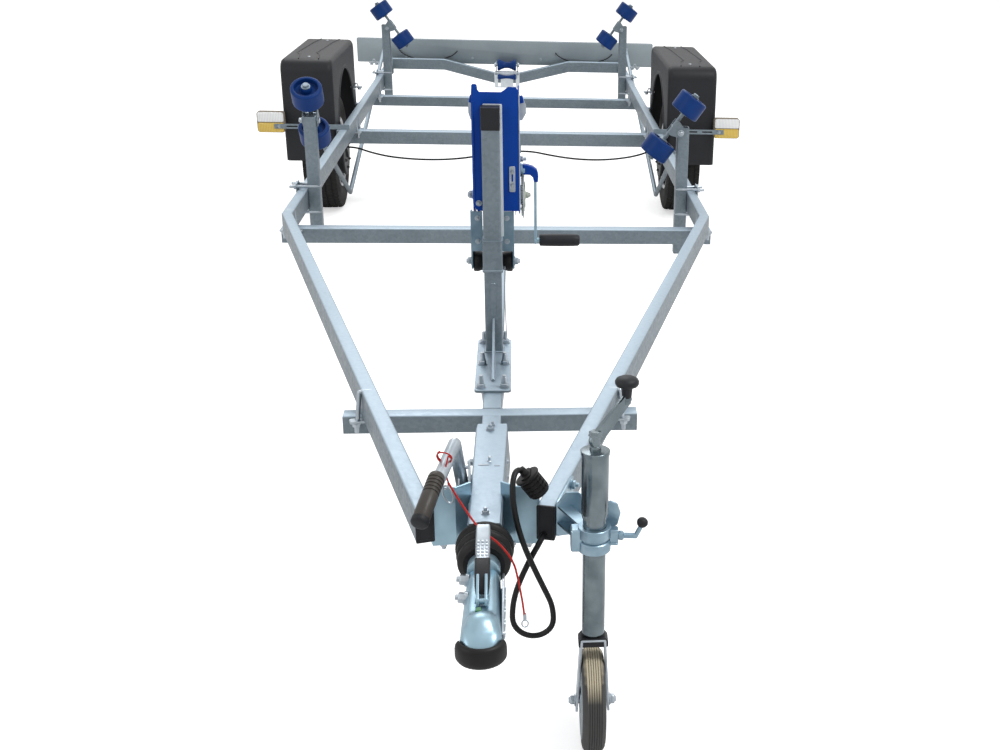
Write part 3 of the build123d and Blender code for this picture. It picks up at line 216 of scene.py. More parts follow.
# ---- Chassis rails ----
# Two 40 x 80 mm rectangular hollow sections, cut and mitred into a V drawbar, then hot-dip galvanised
# whole. The corners of the section are rolled, the open ends closed by pressed-in plastic caps.
def hot_dip(name, pale, dark, spangle, painted_sky_tint="B4C6D4"):
    """Hot-dip galvanised steel: crystals of zinc a few millimetres to a centimetre across, each a slightly
    different grey and gloss, and a pale bluish painted sky reflection on the faces turned up."""
    paint, tree = start_material(name)
    place = put(tree, "TexCoord").outputs["Object"]
    cells = put(tree, "TexVoronoi", {"Vector": place, "Scale": 1000 / spangle, "Randomness": 1.0})
    cell = put(tree, "SeparateColor", {0: cells.outputs["Color"]})
    cloud = put(tree, "TexNoise", {"Vector": place, "Scale": 7.0, "Detail": 5.0, "Roughness": 0.6})
    streak = put(tree, "TexNoise", {"Vector": place, "Scale": 60.0, "Detail": 3.0})
    mix = put(tree, "Math", {0: cell, 1: 0.3}, operation="MULTIPLY")
    mix = put(tree, "Math", {0: cloud, 1: 0.9, 2: mix}, operation="MULTIPLY_ADD")
    mix = put(tree, "MapRange", {"Value": mix, "From Min": 0.25, "From Max": 0.95})
    tone = put(tree, "MixRGB", {0: mix, 1: linear(dark), 2: linear(pale)})
    # faces turned up are mixed towards pale blue: painted sky reflection and painted light on the tops
    facing = put(tree, "SeparateXYZ", {0: put(tree, "NewGeometry").outputs["Normal"]})
    painted_top_light = put(tree, "MapRange", {"Value": facing.outputs[2], "From Min": 0.35, "From Max": 0.9,
                                   "To Max": 0.8})
    tone = put(tree, "MixRGB", {0: painted_top_light, 1: tone, 2: linear(painted_sky_tint)})
    gloss = put(tree, "MapRange", {"Value": cell.outputs[1], "To Min": 0.30, "To Max": 0.48})
    gloss = put(tree, "Math", {0: streak, 1: 0.12, 2: gloss}, operation="MULTIPLY_ADD")
    coat(tree, tone, gloss, streak, 0.25, 0.0006, {"Metallic": 0.5})
    return paint


galvanised = hot_dip("hot_dip_galvanised_steel", "828E96", "6A767E", 9)


def recoat(name, paint):
    """Give a solid of the frame its material."""
    nodes[name].data.materials.clear()
    nodes[name].data.materials.append(paint)


def finish_piece(name, bm, paints, body="trailer", sharp=32):
    """Close a piece whose vertices are in millimetres: metres, shading, and the body it rides on."""
    bmesh.ops.remove_doubles(bm, verts=bm.verts, dist=0.002)
    bmesh.ops.recalc_face_normals(bm, faces=bm.faces)
    bmesh.ops.translate(bm, vec=(0, -1000 * AHEAD, 0), verts=bm.verts)
    bmesh.ops.scale(bm, vec=(0.001, 0.001, 0.001), verts=bm.verts)
    mesh = bpy.data.meshes.new(name)
    bm.to_mesh(mesh)
    bm.free()
    mesh.shade_smooth()
    mesh.set_sharp_from_angle(angle=radians(sharp))
    for paint in paints if isinstance(paints, (list, tuple)) else [paints]:
        mesh.materials.append(paint)
    piece = bpy.data.objects.new(name, mesh)
    bpy.context.collection.objects.link(piece)
    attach(piece, body)
    return piece


def skin(bm, rows, closed=True, wrap=False, material=0):
    """Faces between rows of vertices. closed joins each row's ends, wrap joins the last row to the first."""
    pairs = list(zip(rows, rows[1:])) + ([(rows[-1], rows[0])] if wrap else [])
    for a, b in pairs:
        n = len(a)
        for i in range(n if closed else n - 1):
            j = (i + 1) % n
            bm.faces.new((a[i], a[j], b[j], b[i])).material_index = material


def around(count):
    """Angles of count even steps round a circle."""
    return [2 * pi * k / count for k in range(count)]


def end_faces(bm, rows):
    """Flat faces over the first and last rows."""
    bm.faces.new(rows[0][::-1])
    bm.faces.new(rows[-1])


def rounded(width, height, radius, steps=4):
    """Outline of a rectangle with rounded corners, about its middle."""
    points = []
    for k, (sx, sy) in enumerate(((1, 1), (-1, 1), (-1, -1), (1, -1))):
        cx, cy = sx * (width / 2 - radius), sy * (height / 2 - radius)
        for i in range(steps + 1):
            a = pi / 2 * (k + i / steps)
            points.append((cx + radius * cos(a), cy + radius * sin(a)))
    return points


def hollow_section(bm, stations, width, height, wall=3.0, corner=5.0):
    """Hollow section through stations, each a middle point and the directions of its width and height."""
    shells = []
    for w, h, r in ((width, height, corner), (width - 2 * wall, height - 2 * wall, max(corner - wall, 1.0))):
        shells.append([[bm.verts.new(c + x * u + y * v) for u, v in rounded(w, h, r)] for c, x,
                       y in stations])
    outer, inner = shells
    skin(bm, outer)
    skin(bm, [row[::-1] for row in inner])
    for end in (0, -1):
        skin(bm, [outer[end], inner[end]])


UP, ACROSS, BACKWARD = Vector((0, 0, 1)), Vector((1, 0, 0)), Vector((0, 1, 0))
RAIL_W, RAIL_H, RAIL_TOP, RAIL_OUT = 40, 80, 529, 832
RAIL_BOTTOM, RAIL_MID, RAIL_IN = RAIL_TOP - RAIL_H, RAIL_TOP - RAIL_H / 2, RAIL_OUT - RAIL_W
NOSE_X, NOSE_Y, BEND_Y, TAIL_Y = 147, -3253, -695, 3717
DRAW_ANGLE = atan2(RAIL_OUT - NOSE_X, BEND_Y - NOSE_Y)

bm = bmesh.new()
for s in (-1, 1):
    square = Vector((s * cos(DRAW_ANGLE), -sin(DRAW_ANGLE), 0))
    mitre = Vector((s, -tan(DRAW_ANGLE / 2), 0))
    nose = Vector((s * NOSE_X, NOSE_Y, RAIL_MID)) - square * RAIL_W / 2
    corner = Vector((s * RAIL_OUT, BEND_Y, RAIL_MID)) - mitre * RAIL_W / 2
    tail = Vector((s * (RAIL_OUT - RAIL_W / 2), TAIL_Y, RAIL_MID))
    hollow_section(bm, [(nose, square, UP), (corner, mitre, UP), (tail, Vector((s, 0, 0)), UP)], RAIL_W,
                   RAIL_H)
rails = finish_piece("rails", bm, galvanised)
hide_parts("main_rails")


# ---- Cross members, keel tube and axle beam ----
# Square hollow sections clamped under the rails by U-bolts, the keel tube along the middle, and the 70 mm
# axle tube that holds the rubber springs.
FRONT_Y, BEND_TUBE_Y, MID_Y, AXLE_TUBE_Y = -2528.5, -590, 2720, 1522
# name: (node, middle of its length, half length, size, wall)
CROSS_TUBES = {"front_cross": ("front_cross_tube", FRONT_Y, 384, 50, 3),
               "bend_cross": ("bend_cross_tube", BEND_TUBE_Y, 853, 60, 3),
               "mid_cross": ("mid_cross_tube", MID_Y, 830, 60, 3),
               "axle_tube": ("axle_beam", AXLE_TUBE_Y, 860, 70, 5)}
for name, (node, y, half, size, wall) in CROSS_TUBES.items():
    bm = bmesh.new()
    ends = [(Vector((s * half, y, RAIL_BOTTOM - size / 2)), BACKWARD, UP) for s in (-1, 1)]
    hollow_section(bm, ends, size, size, wall, 6 if size > 50 else 5)
    if name == "axle_tube":
        tab = [(Vector((75, 1490, z)), ACROSS, BACKWARD) for z in (339, 384)]
        rows = [[bm.verts.new(c + x * u + d * v) for u, v in rounded(30, 12, 3)] for c, x, d in tab]
        skin(bm, rows)
        bm.faces.new(rows[0][::-1])
        bm.faces.new(rows[1])
    tube = finish_piece(name, bm, galvanised)
    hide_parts(node)

bm = bmesh.new()
hollow_section(bm, [(Vector((0, y, RAIL_BOTTOM - 30)), ACROSS, UP) for y in (-2503.5, -620)], 50, 60, 3, 5)
hollow_section(bm, [(Vector((0, y, RAIL_BOTTOM - 30)), ACROSS, UP) for y in (-2802, -2554)], 50, 60, 3, 5)
keel = finish_piece("keel_tube_section", bm, galvanised)
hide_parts("keel_tube")


# ---- Rear V beam ----
# Folded and welded box section that dips in the middle to let the hull's keel through; a flat plate at
# each end is welded to the rail.
def flat_plate(bm, origin, x, y, outline, thickness, chamfer=0.8):
    """Cut plate: outline in its own x and y, thickened on both sides of origin, its cut edges broken."""
    n = x.cross(y).normalized()
    middle = Vector((sum(p[0] for p in outline) / len(outline), sum(p[1] for p in outline) / len(outline)))
    rows = []
    for depth, inset in ((-thickness / 2, chamfer), (-thickness / 2 + chamfer, 0),
                         (thickness / 2 - chamfer, 0), (thickness / 2, chamfer)):
        row = []
        for u, v in outline:
            p = Vector((u, v))
            p -= (p - middle).normalized() * inset
            row.append(bm.verts.new(origin + x * p.x + y * p.y + n * depth))
        rows.append(row)
    skin(bm, rows)
    end_faces(bm, rows)


def eased(outline, radius, steps=4):
    """Outline with each corner rounded."""
    points = []
    n = len(outline)
    for i in range(n):
        p = Vector(outline[i])
        a, b = (Vector(outline[i - 1]) - p).normalized(), (Vector(outline[(i + 1) % n]) - p).normalized()
        half = a.angle(b) / 2
        reach = radius / tan(half)
        centre = p + (a + b).normalized() * radius / sin(half)
        start, end = p + a * reach - centre, p + b * reach - centre
        turn = start.angle_signed(end)
        for k in range(steps + 1):
            points.append(tuple(centre + Matrix.Rotation(-turn * k / steps, 2) @ start))
    return points


V_Y, V_OUT_TOP, V_DIP, V_H, V_FLAT, V_KNEE = 3685, 556, 83, 71, 92, 432
bm = bmesh.new()
profile = [(-787, V_OUT_TOP), (-V_KNEE, V_OUT_TOP), (-V_FLAT, V_OUT_TOP - V_DIP), (V_FLAT, V_OUT_TOP - V_DIP),
           (V_KNEE, V_OUT_TOP), (787, V_OUT_TOP)]
hollow_section(bm, [(Vector((x, V_Y, z - V_H / 2)), BACKWARD, UP) for x, z in profile], 50, V_H, 3, 5)
for s in (-1, 1):
    outline = [(-50, 453), (28, 453), (28, 560), (-20, 560), (-50, 509)]
    flat_plate(bm, Vector((s * 789, V_Y, 0)), BACKWARD, UP, eased(outline, 5), 6)
v_beam = finish_piece("rear_v_beam", bm, galvanised)
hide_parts("rear_v_cross_beam")


# ---- U-bolts, bolts and nuts ----
# Bright zinc-plated 12 mm U-bolts tie each cross member to the rails; a strap plate with two flanged nuts
# pulls each one tight. They are colder and glossier than the dipped steel around them.
def plated(name, pale, dark, rough):
    """Bright zinc plate: a clear bluish film over machined steel, glossy, with fine directional scuffs."""
    paint, tree = start_material(name)
    place = put(tree, "TexCoord").outputs["Object"]
    scuff = put(tree, "TexNoise", {"Vector": place, "Scale": 220.0, "Detail": 4.0, "Roughness": 0.7})
    cloud = put(tree, "TexNoise", {"Vector": place, "Scale": 25.0, "Detail": 2.0})
    tone = put(tree, "MixRGB", {0: cloud, 1: linear(dark), 2: linear(pale)})
    gloss = put(tree, "MapRange", {"Value": scuff, "To Min": rough - 0.1, "To Max": rough + 0.12})
    coat(tree, tone, gloss, scuff, 0.12, 0.0003, {"Metallic": 0.9})
    return paint


zinc = plated("bright_zinc_plate", "C9D1D8", "8A949C", 0.3)
# near-white copy of the zinc plate: a painted highlight
highlight_zinc = plated("painted_highlight_zinc_plate", "F0F5F8", "D3DCE2", 0.4)


def round_bar(bm, points, radius, sides=12, closed=False, material=0):
    """Round bar through points; radius may be one for each point."""
    points = [Vector(p) for p in points]
    n, rows, out = len(points), [], None
    for i, p in enumerate(points):
        ahead_way = points[(i + 1) % n] - p if (closed or i < n - 1) else p - points[i - 1]
        back_way = p - points[i - 1] if (closed or i) else ahead_way
        way = (ahead_way.normalized() + back_way.normalized()).normalized()
        out = (way.orthogonal() if out is None else out - way * out.dot(way)).normalized()
        other = way.cross(out)
        r = radius[i] if isinstance(radius, (list, tuple)) else radius
        rows.append([bm.verts.new(p + (out * cos(a) + other * sin(a)) * r)
                     for a in around(sides)])
    skin(bm, rows, wrap=closed, material=material)
    if not closed:
        bm.faces.new(rows[0][::-1]).material_index = material
        bm.faces.new(rows[-1]).material_index = material


def bent(points, radius, steps=6):
    """Points of a bar bent to a radius at each inner corner."""
    points = [Vector(p) for p in points]
    line = [points[0]]
    for a, p, b in zip(points, points[1:], points[2:]):
        u, v = (a - p).normalized(), (b - p).normalized()
        half = u.angle(v) / 2
        reach = radius / tan(half)
        start, end = p + u * reach, p + v * reach
        centre = p + (u + v).normalized() * radius / sin(half)
        for k in range(steps + 1):
            t = k / steps
            arc = (start - centre).slerp(end - centre, t)
            line.append(centre + arc)
    return line + [points[-1]]


def turned(bm, profile, centre, axis, sides=32, material=0, start=0.0):
    """Turned part: profile is (distance along the axis, radius) pairs, from one end to the other."""
    axis = Vector(axis).normalized()
    out = axis.orthogonal().normalized()
    other = axis.cross(out)
    rows = []
    for d, r in profile:
        middle = Vector(centre) + axis * d
        if r < 0.01:
            rows.append([bm.verts.new(middle)])
        else:
            rows.append([bm.verts.new(middle + (out * cos(a) + other * sin(a)) * r)
                         for a in (start + 2 * pi * k / sides for k in range(sides))])
    for a, b in zip(rows, rows[1:]):
        for i in range(sides):
            j = (i + 1) % sides
            ring = [a[i], a[j], b[j], b[i]] if len(a) > 1 and len(b) > 1 else (
                [a[0], b[j], b[i]] if len(a) == 1 else [a[i], a[j], b[0]])
            if len(a) > 1 or len(b) > 1:
                bm.faces.new(ring).material_index = material
    for row, order in ((rows[0], -1), (rows[-1], 1)):
        if len(row) > 1:
            bm.faces.new(row[::order]).material_index = material


def mirrored(profile):
    """Profile from its middle back out: its last point is the middle."""
    return profile + [(-d, r) for d, r in reversed(profile[:-1])]


def turned_across(bm, profile, y, z, sides):
    """Closed ring turned on an axis that lies across the trailer."""
    rows = [[bm.verts.new((d, y + r * cos(a), z + r * sin(a))) for a in around(sides)] for d, r in profile]
    skin(bm, rows, wrap=True)


def nut(bm, at, way, across=19.0, stud=0.0, thread=6.0, material=0):
    """Hexagon nut or bolt head on a washer, with the end of its stud standing out of it."""
    r, h = across / 3 ** 0.5, across * 0.52
    turned(bm, [(0, across * 0.72), (2, across * 0.72)], at, way, 24, material)
    turned(bm, [(2, r * 0.97), (2.6, r), (h, r), (h + 1.6, r * 0.86)], at, way, 6, material, start=0.3)
    turned(bm, [(h, thread), (h + 2 + stud, thread), (h + 3.2 + stud, thread * 0.8)], at, way, 16, material)


def u_bolt(bm, middle, across, down, width, height, strap=True, r=6.0, tail=34.0):
    """U-bolt over a section: middle is the middle of the section's top, down the way its legs point."""
    across, down = Vector(across).normalized(), Vector(down).normalized()
    middle, half = Vector(middle), width / 2 + r + 1.0
    legs = [middle + across * k * half + down * (height + tail) for k in (-1, 1)]
    tops = [middle + across * k * half - down * (r + 0.6) for k in (-1, 1)]
    round_bar(bm, bent([legs[0], tops[0], tops[1], legs[1]], 13), r)
    if strap:
        along = across.cross(down)
        flat_plate(bm, middle + down * (height + 4.5), across, along,
                   rounded(2 * half + 34, 24, 6), 7)
    for k in (-1, 1):
        nut(bm, middle + across * k * half + down * (height + (8.2 if strap else 0.6)), down, 19, tail - 19)


bm = bmesh.new()
for s in (-1, 1):
    square = Vector((s * cos(DRAW_ANGLE), -sin(DRAW_ANGLE), 0))
    # the front cross member hangs under the converging rails
    x = NOSE_X + (FRONT_Y - NOSE_Y) * tan(DRAW_ANGLE) - RAIL_W / 2 / cos(DRAW_ANGLE)
    u_bolt(bm, (s * x, FRONT_Y - 38, RAIL_TOP), square, -UP, RAIL_W, RAIL_H)
    straight = s * (RAIL_OUT - RAIL_W / 2)
    for y in (BEND_TUBE_Y - 43, MID_Y - 43, MID_Y + 43):
        u_bolt(bm, (straight, y, RAIL_TOP), ACROSS, -UP, RAIL_W, RAIL_H)
    for y in (AXLE_TUBE_Y - 52, AXLE_TUBE_Y + 52):
        u_bolt(bm, (straight, y, RAIL_TOP), ACROSS, -UP, RAIL_W, RAIL_H)
u_bolts = finish_piece("chassis_u_bolts", bm, zinc)


# ---- Roller posts ----
# Square posts stand inside the rails, each held by two U-bolts and an outer plate. A zinc-plated pin
# through the head of each carries a swinging arm.
POST_X, POST_W = RAIL_IN - 25, 50
# name: (side, y, foot, height of the pivot, direction that the upper roller leans to)
POSTS = {"front_left": (-1, -269, 308, 807, (0, -1)), "front_right": (1, -269, 260, 784, (1, 0)),
         "rear_left": (-1, 3076, 376, 822, (-1, 0)), "rear_right": (1, 3076, 376, 846, (1, 0))}
for end in ("front", "rear"):
    bm, fixings = bmesh.new(), bmesh.new()
    for name, (s, y, foot, zp, lean) in POSTS.items():
        if not name.startswith(end):
            continue
        x = s * POST_X
        hollow_section(bm, [(Vector((x, y, z)), ACROSS, BACKWARD) for z in (foot, zp + 20)], 50, 50, 3, 5)
        flat_plate(bm, Vector((s * (RAIL_OUT + 3.3), y, RAIL_MID)), BACKWARD, UP, rounded(60, 136, 8), 6)
        pin = Vector((x - lean[0] * 12, y - lean[1] * 12, zp))
        way = Vector((lean[1], -lean[0], 0))
        round_bar(fixings, [pin - way * 36, pin + way * 36], 7.6, 16)
        nut(fixings, pin + way * 31, way, 19, 2, 7.6)
        turned(fixings, [(0, 12.5), (6, 12.5), (8, 10)], pin - way * 30, -way, 6)
        for z in (RAIL_TOP + 14, RAIL_BOTTOM - 14):
            # legs run outwards past the rail's top and bottom, nuts on the outer plate
            u_bolt(fixings, (s * (RAIL_IN - POST_W), y, z), BACKWARD, (s, 0, 0), POST_W, POST_W + RAIL_W + 2,
                   strap=False, tail=30)
    posts = finish_piece(f"roller_posts_{end}_section", bm, galvanised)
    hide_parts(f"roller_posts_{end}")
    fixed = finish_piece(f"roller_post_fixings_{end}", fixings, zinc)


# ---- Swinging arms ----
# Two pressed ear plates welded to a round bar; the bar carries a roller at each end between dished washers,
# under a self-locking nut. Galvanised after welding.
ROLLER_AT, ROLLER_HALF, PIVOT_DROP = 110, 40, 36


def on_arm(name):
    """The arm's pivot, the middle of its bar, and the ways along the bar and along the pivot pin."""
    s, y, foot, zp, (hx, hy) = POSTS[name]
    tilt = radians(54.5)
    lean = Vector((hx, hy, 0))
    pivot = Vector((s * POST_X, y, zp)) - lean * 12
    middle = pivot - lean * PIVOT_DROP * sin(tilt) + UP * PIVOT_DROP * cos(tilt)
    return pivot, middle, lean * cos(tilt) + UP * sin(tilt), Vector((hy, -hx, 0))


def weld(bm, points, r=3.0, closed=False):
    """Bead of weld along points, its ripples a bead's width apart."""
    points = [Vector(p) for p in points]
    fine = []
    for a, b in zip(points, points[1:] + (points[:1] if closed else [])):
        steps = max(2, int((b - a).length / 2.5))
        fine += [a.lerp(b, k / steps) for k in range(steps)]
    if not closed:
        fine.append(points[-1])
    radii = [r * (1.0 if k % 2 else 0.82) for k in range(len(fine))]
    round_bar(bm, fine, radii, 8, closed)


for name in POSTS:
    pivot, middle, along, way = on_arm(name)
    out = along.cross(way)
    if (pivot - middle).dot(out) < 0:
        out = -out
    bm = bmesh.new()
    outline = [(-34, -9), (34, -9), (34, 8), (16, 56), (-16, 56), (-34, 8)]
    for k in (-1, 1):
        flat_plate(bm, middle + way * k * 28.5, along, out, eased(outline, 9), 4)
        weld(bm, [middle + way * k * 24 + along * d + out * 3 for d in (-30, 30)], 2.4)
    round_bar(bm, [middle - way * 26, middle + way * 26], 7)
    half_bar = ROLLER_AT + ROLLER_HALF + 12
    round_bar(bm, [middle - along * half_bar, middle + along * half_bar], 8, 20)
    for k in (-1, 1):
        for d in (ROLLER_AT - ROLLER_HALF - 4.5, ROLLER_AT + ROLLER_HALF + 1):
            turned(bm, [(0, 17), (1, 18), (3.5, 18), (3.5, 17)], middle + along * k * d, along * k, 24)
        turned(bm, [(0, 13), (1, 13.4), (8, 13.4), (10, 11.4)], middle + along * k * (half_bar - 7.5),
               along * k, 6)
        turned(bm, [(9, 8.8), (11, 8.8), (12, 7.8)], middle + along * k * (half_bar - 9), along * k, 16)
    arm = finish_piece(f"swinging_arm_{name}", bm, [galvanised], f"arm_{name}")
    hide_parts(f"roller_arm_{name}")


# ---- Side rollers ----
# Polyurethane rollers, cast in royal blue round a hub: a smooth tread with rounded shoulders and a deep
# recess in each end, so that only the rim and the hub meet the washers.
def cast_pu(name, code, deep):
    """Cast polyurethane: saturated, softly glossy, faintly uneven in depth, lightly scuffed."""
    paint, tree = start_material(name)
    place = put(tree, "TexCoord").outputs["Object"]
    cloud = put(tree, "TexNoise", {"Vector": place, "Scale": 18.0, "Detail": 3.0})
    scuff = put(tree, "TexNoise", {"Vector": place, "Scale": 350.0, "Detail": 5.0, "Roughness": 0.65})
    tone = put(tree, "MixRGB", {0: cloud, 1: linear(deep), 2: linear(code)})
    gloss = put(tree, "MapRange", {"Value": scuff, "To Min": 0.28, "To Max": 0.5})
    coat(tree, tone, gloss, scuff, 0.15, 0.0004, {"Specular IOR Level": 0.15})
    return paint


blue_pu = cast_pu("blue_polyurethane", "123E82", "0C2C60")


def arc(cx, cy, r, a0, a1, steps=5):
    """Points of an arc, angles in degrees."""
    return [(cx + r * cos(radians(a0 + (a1 - a0) * k / steps)),
             cy + r * sin(radians(a0 + (a1 - a0) * k / steps)))
            for k in range(steps + 1)]


half, r = ROLLER_HALF, 63
side_wall = [(half, 8.4), (half, 21), (half - 2, 22), (half - 20, 23)]
side_wall += arc(half - 20, 27, 3, -90, -180) + arc(half - 20, 43, 3, -180, -270) + [(half - 3, 47.5)]
side_wall += arc(half - 3, 50.5, 3, -90, 0, 4) + arc(half - 8, r - 8, 8, 0, 90, 6)
roller_half = side_wall + [(half - 12, r)]
for name in POSTS:
    pivot, middle, along, way = on_arm(name)
    for tag, k in (("outer", 1), ("inner", -1)):
        bm = bmesh.new()
        profile = roller_half + [(-x, y) for x, y in reversed(roller_half)]
        out = along.orthogonal().normalized()
        other = along.cross(out)
        centre = middle + along * k * ROLLER_AT
        rows = [[bm.verts.new(centre + along * d + (out * cos(a) + other * sin(a)) * radius)
                 for a in around(56)] for d, radius in profile]
        skin(bm, rows, wrap=True)
        roller = finish_piece(f"roller_{name}_{tag}_cast", bm, blue_pu, f"roller_{name}_{tag}", 40)
        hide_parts(f"side_roller_{name}_{tag}")


# ---- Fenders ----
# Boxy wheel guards, vacuum-formed from black ABS sheet with a fine leathery grain: crowned corners, a rolled
# rim round each wheel arch, two pressed channels on the top, and screws through steel stays to the rail.
def grained_plastic(name, code, rough, grain):
    """Grained thermoplastic: a leather-like texture pressed by the mould, matt."""
    paint, tree = start_material(name)
    place = put(tree, "TexCoord").outputs["Object"]
    cells = put(tree, "TexVoronoi", {"Vector": place, "Scale": 1000 / grain}, feature="SMOOTH_F1")
    cloud = put(tree, "TexNoise", {"Vector": place, "Scale": 5.0, "Detail": 4.0})
    dust = put(tree, "MixRGB", {0: cloud, 1: linear(code), 2: [c * 1.9 for c in linear(code)[:3]] + [1]})
    gloss = put(tree, "MapRange", {"Value": cells.outputs["Distance"], "To Min": rough + 0.1,
                                   "To Max": rough - 0.06})
    coat(tree, dust, gloss, cells.outputs["Distance"], 0.35, 0.0006, {"Specular IOR Level": 0.25})
    return paint


black_abs = grained_plastic("grained_black_abs", "1B1C1F", 0.46, 2.5)
AXLE_Y, FENDER_IN, FENDER_OUT, FENDER_TOP, FENDER_FOOT = 1625, 860, 1119, 864, 352
HALF_LONG, ROUND, ARCH_R, ARCH_Z, WAIST_Z = 481, 62, 345, 415, 494


def guard_line(inset):
    """Side outline of the guard from its front foot over the top to its rear foot, moved in by inset."""
    edge, top, r = HALF_LONG - inset, FENDER_TOP - inset, max(ROUND - inset, 8)
    line = [(-edge + 5 * (1 - k / 3), FENDER_FOOT + k * (WAIST_Z - FENDER_FOOT) / 3) for k in range(3)]
    line += [(-edge, WAIST_Z + k * (top - r - WAIST_Z) / 4) for k in range(4)]
    line += [(-edge + r - r * cos(radians(a)), top - r + r * sin(radians(a))) for a in range(0, 91, 10)]
    line += [(-edge + r + k * (edge - r) / 5, top) for k in range(1, 5)]
    return line + [(0, top)] + [(-y, z) for y, z in reversed(line)]


def arch_line(count, r=ARCH_R):
    """As many points of the wheel arch, from its front foot to its rear one."""
    low = asin((ARCH_Z - FENDER_FOOT) / r)
    return [(-r * cos(-low + (pi + 2 * low) * k / (count - 1)),
             ARCH_Z + r * sin(-low + (pi + 2 * low) * k / (count - 1)))
            for k in range(count)]


for name, s in (("left", -1), ("right", 1)):
    bm = bmesh.new()
    edge_r = 24
    across = [(FENDER_IN + edge_r * (1 - cos(radians(a))), edge_r * (1 - sin(radians(a))))
              for a in range(0, 91, 15)]
    across += [(FENDER_IN + FENDER_OUT - x, d) for x, d in reversed(across)]
    grid = [[bm.verts.new((s * x, AXLE_Y + y, z)) for y, z in guard_line(d)] for x, d in across]
    skin(bm, grid, closed=False)
    count = len(grid[0])
    for row, x, outward in ((grid[0], FENDER_IN, -1), (grid[-1], FENDER_OUT, 1)):
        rim = [row]
        for r, lift in ((ARCH_R + 17, 0), (ARCH_R + 13, 3.2), (ARCH_R + 5, 4), (ARCH_R + 1, 1.5),
                        (ARCH_R, -3)):
            rim.append([bm.verts.new((s * (x + outward * lift), AXLE_Y + y, z)) for y,
                        z in arch_line(count, r)])
        skin(bm, rim, closed=False)
    bmesh.ops.recalc_face_normals(bm, faces=bm.faces)
    if sum(f.normal.z * f.calc_area() for f in bm.faces if f.calc_center_median().z > 800) < 0:
        bmesh.ops.reverse_faces(bm, faces=bm.faces)
    bmesh.ops.solidify(bm, geom=bm.faces[:], thickness=4.0)
    fender = finish_piece(f"fender_{name}", bm, black_abs, sharp=30)
    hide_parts("fenders")
    # two L-shaped channels pressed into the top, and the screws that hold the guard to its stays
    bm = bmesh.new()
    for x in (FENDER_IN + 70, FENDER_IN + 170):
        path = bent([(s * x, AXLE_Y - 430, FENDER_TOP + 0.6), (s * x, AXLE_Y - 250, FENDER_TOP + 0.6),
                     (s * (x + 42), AXLE_Y - 190, FENDER_TOP + 0.6)], 20)
        path += bent([path[-1], (s * (x + 42), AXLE_Y + 190, FENDER_TOP + 0.6),
                      (s * x, AXLE_Y + 250, FENDER_TOP + 0.6), (s * x, AXLE_Y + 420, FENDER_TOP + 0.6)],
                     20)[1:]
        round_bar(bm, path, 3.2, 8)
    ribs = finish_piece(f"fender_channels_{name}", bm, black_abs)
    bm = bmesh.new()
    for y in (AXLE_Y - HALF_LONG + 42, AXLE_Y + HALF_LONG - 42):
        for dy in (-12, 12):
            turned(bm, [(0, 9), (1.2, 9), (3.5, 7.4), (4.6, 4)], (s * (FENDER_IN + 4), y + dy, 480),
                   (s, 0, 0), 20)
            nut(bm, (s * (FENDER_IN - 5), y + dy, 480), (-s, 0, 0), 13, 3, 4)
    for y in (-HALF_LONG + 130, HALF_LONG - 130):
        turned(bm, [(0, 8), (1, 8), (3.2, 6.4), (4, 3)], (s * (FENDER_IN + 128), AXLE_Y + y, FENDER_TOP), UP,
               20)
    screws = finish_piece(f"fender_screws_{name}", bm, zinc)


# ---- Road tyres ----
# 14-inch radial tyres: four grooves round the tread, angled cross cuts that part the ribs into blocks, a
# shoulder of heavier lugs, and plain bulging side walls without any lettering.
def tyre_rubber(name, code, rough, dusty="2A2927"):
    """Moulded carbon-black rubber: matt, faintly brown-grey with road dust in the low places."""
    paint, tree = start_material(name)
    place = put(tree, "TexCoord").outputs["Object"]
    dust = put(tree, "TexNoise", {"Vector": place, "Scale": 14.0, "Detail": 6.0, "Roughness": 0.7})
    fine = put(tree, "TexNoise", {"Vector": place, "Scale": 500.0, "Detail": 3.0})
    tone = put(tree, "MixRGB", {0: dust, 1: linear(code), 2: linear(dusty)})
    gloss = put(tree, "MapRange", {"Value": fine, "To Min": rough - 0.1, "To Max": rough + 0.1})
    coat(tree, tone, gloss, fine, 0.25, 0.0005, {"Specular IOR Level": 0.25})
    return paint


tyre_black = tyre_rubber("tyre_rubber", "161617", 0.72)
WHEEL_X, TYRE_R, BLOCKS = 985, 308, 64
wall_half = [(76, 178), (79, 183), (80, 190), (83, 196), (87, 208), (91, 226), (92.5, 244), (91.5, 262),
             (89, 276), (86.5, 286), (85.5, 292), (83.5, 298)]
tread_half = [(78, 303.2), (70, 305.2), (60.5, 306.4), (59.5, 306.4), (52, 307), (51, 307), (36, 307.6),
              (27, 307.8), (26, 307.8), (19, TYRE_R), (18, TYRE_R), (8, TYRE_R)]


def tread_depth(u, phase):
    """How far the tread is cut away at u across the tyre and phase through one block's pitch."""
    u = abs(u)
    if 52 <= u <= 59.5 or 19 <= u <= 26:
        return 7.0
    if u > 60 and phase in (0, 1):
        return 5.5
    if 26 < u < 52 and phase in (2, 3):
        return 4.5
    if u < 19 and phase in (1, 2):
        return 2.0
    return 0.0


